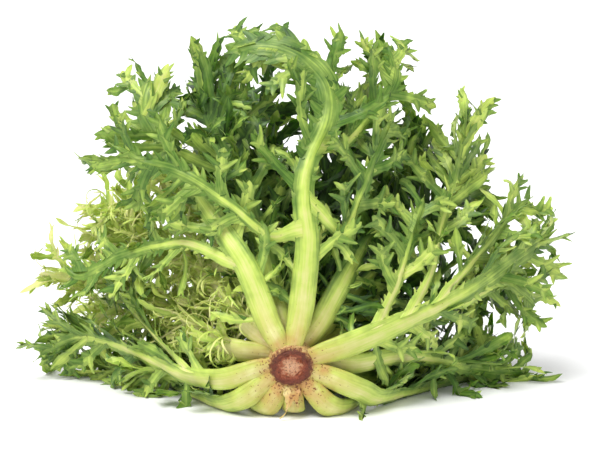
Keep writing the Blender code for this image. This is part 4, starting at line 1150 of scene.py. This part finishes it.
def dress_tooth(tissue, lobe, row, tip, look, chance, dry):
    """The fine form of a lobe's large tooth: a broad finger from the lobe's middle to the same tip."""
    place, _, _, normal = lobe.at(mixed(lobe.cuts[row], lobe.cuts[row + 1], 0.3))
    toward = (tip - place) * chance.uniform(0.5, 1.0)
    length = toward.length
    bend = normal * chance.uniform(-0.12, 0.12) * length
    across = toward.normalized().cross(normal).normalized()
    count = max(5, round(length / LOBE_RING_STEP / look.coarse))
    teeth = (Teeth(chance, LOBE_TOOTH_PITCH), Teeth(chance, LOBE_TOOTH_PITCH))
    rings = []
    for i in range(count + 1):
        t = i / count
        middle = place + toward * t + bend * math.sin(math.pi * t)
        half = between(TOOTH_WIDTH, t) * MM * lobe.width_scale * look.slender
        left, onward = (half + 1.1 * MM * tooth.height(length * t) * (1 - t) for tooth in teeth)
        depth = LOBE_TOOTH_HALF_DEPTH * (1 - 0.5 * t)
        rings.append(Ring(middle, across, normal, left, onward, depth, FROND_SECTION, look.blade_green * 0.9,
                          look.blade_green, 0.2 * MM * math.sin(8 * t), 0.0, dry * eased(0.3, 1.0, t)))
    tissue.sweep(rings)


def clear_path(points, crowd, gap):
    """True if a fine frond's line, past its root, stays inside the head and off every thick blade."""
    for place in points[4::2]:
        if any(not cad_box[0][k] - HEAD_MARGIN < place[k] < cad_box[1][k] + HEAD_MARGIN for k in range(3)):
            return False
        if crowd.tree.find_nearest(place, gap)[0] is not None:
            return False
    return True


def sprout(tissue, carrier, share, root_green, kind, look, chance, crowd):
    """A frond, sprig, thread or broad fill blade from a rib's or lobe's edge, if it finds a clear way."""
    side = chance.choice((-1, 1))
    place, ahead, right, normal = carrier.at(share)
    for _ in range(SPROUT_TRIES):
        angle = math.radians(chance.uniform(*SPROUT_ANGLE))
        lift = math.radians(chance.uniform(*look.lift))
        outward = right * side * math.cos(lift) + normal * math.sin(lift)
        toward = ahead * math.cos(angle) + outward * math.sin(angle)
        if kind == "fill" and toward.dot(AXIS) < -0.1:
            continue
        up = (normal - toward * normal.dot(toward)).normalized()
        curl = chance.uniform(*(THREAD_CURL if kind == "thread" else FROND_CURL))
        start = place + right * side * carrier.width_at(share) * 0.5
        points, normals = wander(start, toward.normalized(), up, chance.uniform(*KINDS[kind].reach) * MM,
                                 math.radians(chance.uniform(*SPROUT_TURN)), math.radians(curl),
                                 math.radians(chance.uniform(*SPROUT_TWIST)),
                                 math.radians(chance.uniform(*SPROUT_RIPPLE)), chance.uniform(0, 6))
        if clear_path(points, crowd, SPROUT_GAP):
            dry = look.dry * chance.random() ** 2
            breadth = chance.uniform(0.75, 1.15) * look.broad
            frond = Frond(points, normals, FROND_WIDTH, 0.0, (), False, breadth)
            dress_blade(tissue, frond, root_green, look, chance, kind, dry)
            return


def dress_torn_foot(tissue):
    """The torn foot of a lost leaf, which hangs from under the cut face and ends in two ragged points."""
    for route, low, high in TORN_FOOT:
        line = smooth_line(on_head(*route), 14)
        rings = []
        for place, right, normal, along, share in stations(line, carried_normals(line, -AXIS), 0.7 * MM):
            ragged = 0.5 * MM * math.sin(along / MM * 1.9) * (1 - share)
            half = mixed(low, 0.3, eased(0.0, high, share)) * MM
            rings.append(Ring(place, right, normal, half + ragged, half - ragged, mixed(0.9, 0.4, share) * MM,
                              LOBE_SECTION, 0.1, 0.14, 0.4 * MM * math.sin(along / MM), 1.0))
        tissue.sweep(rings, TORN_FOOT_LUCK)


def dress_toward(tissue, rib, spot, look, chance):
    """A broad blade from a leaf's nearest rib to a spot where the head would be thin."""
    ribs = [rib] + [shoot for _, _, shoot in rib.shoots if is_rib(shoot)]
    rib = min(ribs, key=lambda one: min((place - spot).length for place in one.points))
    share = min(AIMED_SHARES, key=lambda at: abs((rib.at(at)[0] - spot).length - AIMED_REACH))
    place, _, _, normal = rib.at(share)
    toward = (spot - place).normalized()
    facing = normal * 0.3 - AXIS
    up = (facing - toward * facing.dot(toward)).normalized()
    points, normals = wander(place, toward, up, (spot - place).length + chance.uniform(2, 8) * MM,
                             math.radians(chance.uniform(-20, 20)), math.radians(chance.uniform(-40, 40)),
                             math.radians(chance.uniform(-50, 50)), math.radians(chance.uniform(10, 40)),
                             chance.uniform(0, 6))
    frond = Frond(points, normals, FROND_WIDTH, 0.0, (), False, chance.uniform(0.95, 1.35))
    dress_blade(tissue, frond, look.blade_green * 0.8, look, chance, "aimed", 0.0)


def dress_leaf(rib, look, crowd, chance):
    """The fine surface of one leaf: ribs, lobes with their large teeth, and fronds from all of them."""
    tissue = Tissue()

    def dress_branch(branch, main, from_share=0.0, socket=None):
        dress_rib(tissue, branch, look, chance, main, from_share, socket)
        for row, side, shoot in branch.shoots:
            place = mixed(branch.cuts[row], branch.cuts[row + 1], 0.5)
            _, ahead, _, normal = branch.at(place)
            place = from_share + place * (1 - from_share)
            root = rib_tone(look, place)[1]
            if is_rib(shoot):
                dress_branch(shoot, False, place * 0.5, (ahead * -side, normal))
                continue
            dry = look.dry * chance.random() ** 2
            kind = "lobe" if look.slender == 1.0 else "slender_lobe"
            dress_blade(tissue, shoot, root, look, chance, kind, dry, (ahead * -side, normal))
            for tooth_row, _, tip in shoot.teeth:
                dress_tooth(tissue, shoot, tooth_row, tip, look, chance, dry)
            for _ in range(1 if look.lift == FLAT else 2):
                share = chance.uniform(0.15, 0.75)
                sprout(tissue, shoot, share, look.blade_green, "sprig", look, chance, crowd)
        fronds = look.fronds if main else SIDE_RIB_FRONDS
        for k in range(fronds):
            share = mixed(look.bare if main else 0.1, 0.97, ((k + chance.random()) / fronds) ** 1.25)
            root = rib_tone(look, from_share + share * (1 - from_share))[1]
            kind = "thread" if chance.random() < look.thread else "frond"
            sprout(tissue, branch, share, root, kind, look, chance, crowd)
        for _ in range(look.fill if main else 0):
            share = chance.uniform(max(0.2, look.bare), 0.9)
            sprout(tissue, branch, share, look.blade_green, "fill", look, chance, crowd)

    dress_branch(rib, True)
    return tissue


def placed(name, data):
    """A new object in the scene."""
    thing = bpy.data.objects.new(name, data)
    bpy.context.scene.collection.objects.link(thing)
    return thing


def make_piece(name, tissue, material):
    """A mesh object from a leaf's tissue, with its tones and its blades' places for the material."""
    mesh = bpy.data.meshes.new(name)
    mesh.from_pydata(tissue.points, [], tissue.faces)
    tones = mesh.attributes.new("tone", "FLOAT_COLOR", "POINT")
    tones.data.foreach_set("color", [value for tone in tissue.tones for value in tone])
    places = mesh.uv_layers.new(name="blade")
    loops = [0] * len(mesh.loops)
    mesh.loops.foreach_get("vertex_index", loops)
    places.data.foreach_set("uv", [value for corner in loops for value in tissue.places[corner]])
    mesh.shade_smooth()
    mesh.set_sharp_from_angle(angle=CREASE_ANGLE)
    mesh.materials.append(material)
    return placed(name, mesh)


def linear(hex_colour):
    """An sRGB hex colour as linear red, green, blue and alpha."""
    parts = [int(hex_colour[k:k + 2], 16) / 255 for k in (1, 3, 5)]
    return (*(part / 12.92 if part <= 0.04045 else ((part + 0.055) / 1.055) ** 2.4 for part in parts), 1.0)


def plug(tree, node, inputs):
    """Sets a node's inputs, which are values, sockets, or nodes whose first output is meant."""
    for socket, value in inputs.items():
        if isinstance(value, bpy.types.Node):
            value = next(output for output in value.outputs if output.enabled)
        if isinstance(value, bpy.types.NodeSocket):
            tree.links.new(value, node.inputs[socket])
        else:
            node.inputs[socket].default_value = value


def add(tree, kind, inputs=None, stops=(), **settings):
    """Adds a node with its settings and inputs, and with the stops of its ramp if it has one."""
    made = tree.nodes.new("ShaderNode" + kind)
    for setting, value in settings.items():
        setattr(made, setting, value)
    plug(tree, made, inputs or {})
    for _ in stops[2:]:
        made.color_ramp.elements.new(0.5)
    for element, (place, colour) in zip(made.color_ramp.elements if stops else (), stops):
        element.position = place
        element.color = linear(colour)
    return made


def new_material(name):
    """A material with its tree and its shader."""
    material = bpy.data.materials.new(name)
    material.use_nodes = True
    return material, material.node_tree, material.node_tree.nodes["Principled BSDF"]


def leaf_material():
    """Fresh endive leaf: turgid tissue under a thin waxy cuticle, blanched cream at the rib's foot and
    green at the edges. Its parallel veins catch the light as fine streaks along each blade, and light comes
    through it."""
    material, tree, shader = new_material("fresh_endive_leaf")
    tone = add(tree, "Attribute", attribute_name="tone")
    green, foot, dry = add(tree, "SeparateColor", {"Color": tone}).outputs
    # Veins 0.9 mm apart across the blade, and many times as long along it
    place = add(tree, "UVMap", uv_map="blade")
    veins = add(tree, "Mapping", {"Vector": place, "Scale": VEINS_PER_MM})
    streaks = add(tree, "TexNoise", {"Vector": veins, "Scale": 1.0, "Detail": 2.0})
    # Patches of deeper and paler green 8 mm across
    spot = add(tree, "TexCoord").outputs["Object"]
    patches = add(tree, "TexNoise", {"Vector": spot, "Scale": PATCHES_PER_MM / MM, "Detail": 2.0})
    wide = add(tree, "Math", {0: patches, 1: 0.5, 2: -0.25}, operation="MULTIPLY_ADD")
    fine = add(tree, "Math", {0: streaks, 1: 0.5, 2: wide}, operation="MULTIPLY_ADD")
    own = add(tree, "Math", {0: tone.outputs["Alpha"], 1: 0.34, 2: -0.42}, operation="MULTIPLY_ADD")
    change = add(tree, "Math", {0: fine, 1: own})
    strength = add(tree, "Math", {0: green, 1: 0.4})
    varied = add(tree, "Math", {0: change, 1: strength, 2: green}, operation="MULTIPLY_ADD", use_clamp=True)
    flesh = add(tree, "ValToRGB", {"Fac": varied}, LEAF_STOPS)
    # The rib's foot: blanched flesh stained tan by its sap, with brown freckles 1 mm across
    blotched = add(tree, "Math", {0: patches, 1: 2.8, 2: -0.62}, operation="MULTIPLY_ADD")
    stain = add(tree, "Math", {0: foot, 1: blotched}, operation="MULTIPLY", use_clamp=True)
    stained = add(tree, "Mix", {0: stain, 6: flesh, 7: linear(LEAF_STAIN)}, data_type="RGBA")
    freckles = add(tree, "TexNoise", {"Vector": spot, "Scale": FRECKLES_PER_MM / MM, "Detail": 2.0})
    near = add(tree, "Math", {0: foot, 1: 0.17, 2: freckles}, operation="MULTIPLY_ADD")
    marked = add(tree, "Math", {0: near, 1: 12.0, 2: -8.8}, operation="MULTIPLY_ADD", use_clamp=True)
    freckled = add(tree, "Mix", {0: marked, 6: stained, 7: linear(LEAF_FRECKLE)}, data_type="RGBA")
    withered = add(tree, "Mix", {0: dry, 6: freckled, 7: linear(LEAF_WITHERED)}, data_type="RGBA")
    rough = add(tree, "Math", {0: streaks, 1: 0.24, 2: 0.36}, operation="MULTIPLY_ADD")
    bump = add(tree, "Bump", {"Height": streaks, "Strength": 0.4, "Distance": 0.0004})
    plug(tree, shader, {
        "Base Color": withered, "Roughness": rough, "Normal": bump, "IOR": 1.42, "Specular IOR Level": 0.5,
        "Sheen Weight": 0.08, "Sheen Roughness": 0.4, "Subsurface Weight": 0.25,
        "Subsurface Radius": (0.7, 1.0, 0.25), "Subsurface Scale": 1.2 * MM,
    })
    return material


def stem_material():
    """Cut endive core: dry flesh that has turned red brown in the air, paler and pinkish at the pith, with
    dark spots of dried milky sap round the rim."""
    material, tree, shader = new_material("browned_stem_flesh")
    spot = add(tree, "TexCoord").outputs["Object"]
    from_middle = add(tree, "VectorMath", {0: spot, 1: tuple(CUT_PLACE)}, operation="DISTANCE")
    # Blotches 2 mm across, which also break up the rings of colour, and grain 0.7 mm across
    blotches = add(tree, "TexNoise", {"Vector": spot, "Scale": BLOTCHES_PER_MM / MM, "Detail": 5.0,
                                      "Roughness": 0.7})
    ragged = add(tree, "Math", {0: blotches, 1: 0.8, 2: -0.4}, operation="MULTIPLY_ADD")
    ring = add(tree, "Math", {0: from_middle, 1: 1 / STEM_REACH, 2: ragged}, operation="MULTIPLY_ADD")
    colour = add(tree, "ValToRGB", {"Fac": ring}, STEM_STOPS)
    grain = add(tree, "TexNoise", {"Vector": spot, "Scale": GRAINS_PER_MM / MM, "Detail": 3.0})
    dark = add(tree, "Math", {0: grain, 1: 9.0, 2: -5.2}, operation="MULTIPLY_ADD", use_clamp=True)
    spotted = add(tree, "Mix", {0: dark, 6: colour, 7: linear(STEM_SPOT)}, data_type="RGBA")
    rough = add(tree, "Math", {0: grain, 1: 0.3, 2: 0.45}, operation="MULTIPLY_ADD")
    bump = add(tree, "Bump", {"Height": blotches, "Strength": 0.9, "Distance": 0.0008})
    plug(tree, shader, {
        "Base Color": spotted, "Roughness": rough, "Normal": bump, "Subsurface Weight": 0.1,
        "Subsurface Scale": 1.0 * MM,
    })
    return material


def stem_profile():
    """The stem's outline from the heart end round to the middle of the cut face, in fine steps."""
    corners = [Vector((radius * MM, along * MM, 0)) for along, radius in STEM_OUTLINE]
    corners[0].x = corners[-1].x = 1.5 * STEM_MIDDLE
    return [(point.y, max(point.x, STEM_MIDDLE)) for point in smooth_line(corners, STEM_FINE_RINGS)]


def make_stem_piece(material):
    """The cut stem, finely turned, with the torn and shrunken surface of a cut that has dried."""
    sides = STEM_FINE_SIDES
    chance = random.Random(STEM_SEED)
    rates, turns, phases, heights = STEM_LUMP_RANGES
    lumps = []
    for _ in range(STEM_LUMPS):
        lumps.append((chance.uniform(*rates), chance.randint(*turns), chance.uniform(*phases),
                      chance.uniform(*heights)))
    profile = stem_profile()
    tissue = Tissue()
    for along, radius in profile:
        front = eased(*CUT_EDGE, along)
        for k in range(sides):
            angle = 2 * math.pi * k / sides
            out = RIGHT * math.cos(angle) + UPWARD * math.sin(angle)
            rough = sum(height * math.sin(turn * angle + phase + radius / MM * rate)
                        for rate, turn, phase, height in lumps)
            sink = max(rough * min(radius / (2 * MM), 1) * (0.15 + 0.85 * front), -0.35) * MM
            place = CUT_PLACE + AXIS * (along + sink + 0.15 * MM * front) + out * radius * (1 - 0.012 * rough)
            tissue.points.append(tuple(place))
            tissue.tones.append((0, 0, 0, 0))
            tissue.places.append((angle, along))
    for ring in range(len(profile) - 1):
        low = ring * sides
        high = low + sides
        for k in range(sides):
            onward = (k + 1) % sides
            tissue.faces.append((low + k, low + onward, high + onward, high + k))
    last = (len(profile) - 1) * sides
    tissue.faces.append(tuple(range(sides - 1, -1, -1)))
    tissue.faces.append(tuple(range(last, last + sides)))
    return make_piece("stem_core", tissue, material)


def aim(thing, target):
    thing.rotation_euler = (target - thing.location).to_track_quat("-Z", "Y").to_euler()


def make_camera():
    """The camera is 1 m from the cut face, 15 degrees above it, and turned up to take in the whole head."""
    data = bpy.data.cameras.new("camera")
    data.lens = CAMERA_LENS
    data.sensor_width = 36
    data.clip_start = 0.05
    camera = placed("camera", data)
    away = Vector((0, -math.cos(CAMERA_RISE), math.sin(CAMERA_RISE)))
    up = Vector((0, math.sin(CAMERA_RISE), math.cos(CAMERA_RISE)))
    camera.location = CUT_PLACE + away * CAMERA_DISTANCE
    aim(camera, CUT_PLACE + RIGHT * PICTURE_MIDDLE[0] + up * PICTURE_MIDDLE[1])
    bpy.context.scene.camera = camera


def make_studio():
    """A wide white table, a white surround, and one large soft lamp from the upper left."""
    world = bpy.data.worlds.new("studio")
    bpy.context.scene.world = world
    world.use_nodes = True
    background = world.node_tree.nodes["Background"]
    background.inputs["Color"].default_value = linear(ROOM_WHITE)
    background.inputs["Strength"].default_value = ROOM_STRENGTH
    mesh = bpy.data.meshes.new("table")
    corners = [(x * TABLE_REACH, y * TABLE_REACH, 0) for x, y in ((-1, -1), (1, -1), (1, 1), (-1, 1))]
    mesh.from_pydata(corners, [], [(0, 1, 2, 3)])
    table = placed("table", mesh)
    # Matt white paper, which shows a soft shadow and no reflection
    paper, tree, shader = new_material("matt_white_paper")
    plug(tree, shader, {"Base Color": linear(TABLE_WHITE), "Roughness": 0.9, "Specular IOR Level": 0.1})
    mesh.materials.append(paper)
    lamp_data = bpy.data.lights.new("softbox", "SUN")
    lamp_data.energy = LAMP_STRENGTH
    lamp_data.angle = LAMP_WIDTH
    lamp = placed("softbox", lamp_data)
    lamp.location = LAMP_PLACE
    aim(lamp, Vector((0, 0, 0)))


stem_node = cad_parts["cut_stem"]
stem_node.data.calc_loop_triangles()
stem_faces = ([vertex.co.copy() for vertex in stem_node.data.vertices],
              [tuple(triangle.vertices) for triangle in stem_node.data.loop_triangles])
leaf_tissue = leaf_material()
head = grow_head(stem_faces)
solid = Crowd()
solid.add(*stem_faces)
for _, rib in head:
    sheet = Sheet()
    sheet.add(rib)
    solid.add(*solid_faces(sheet))
solid.tree = BVHTree.FromPolygons(solid.points, solid.triangles)
for number, (name, rib) in enumerate(head):
    tissue = dress_leaf(rib, LOOKS[name], solid, random.Random(FRILL_SEED + number))
    for spot in on_head(*THIN_SPOTS.get(name, ())):
        dress_toward(tissue, rib, spot, LOOKS[name], random.Random(round(spot.z / MM)))
    if name == "outer_leaf_under":
        dress_torn_foot(tissue)
    piece = make_piece(name + "_frill", tissue, leaf_tissue)
    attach(piece, "root")
    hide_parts(name)
stem_piece = make_stem_piece(stem_material())
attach(stem_piece, "root")
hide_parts("cut_stem")
make_camera()
make_studio()
bpy.context.scene.view_settings.view_transform = "Standard"
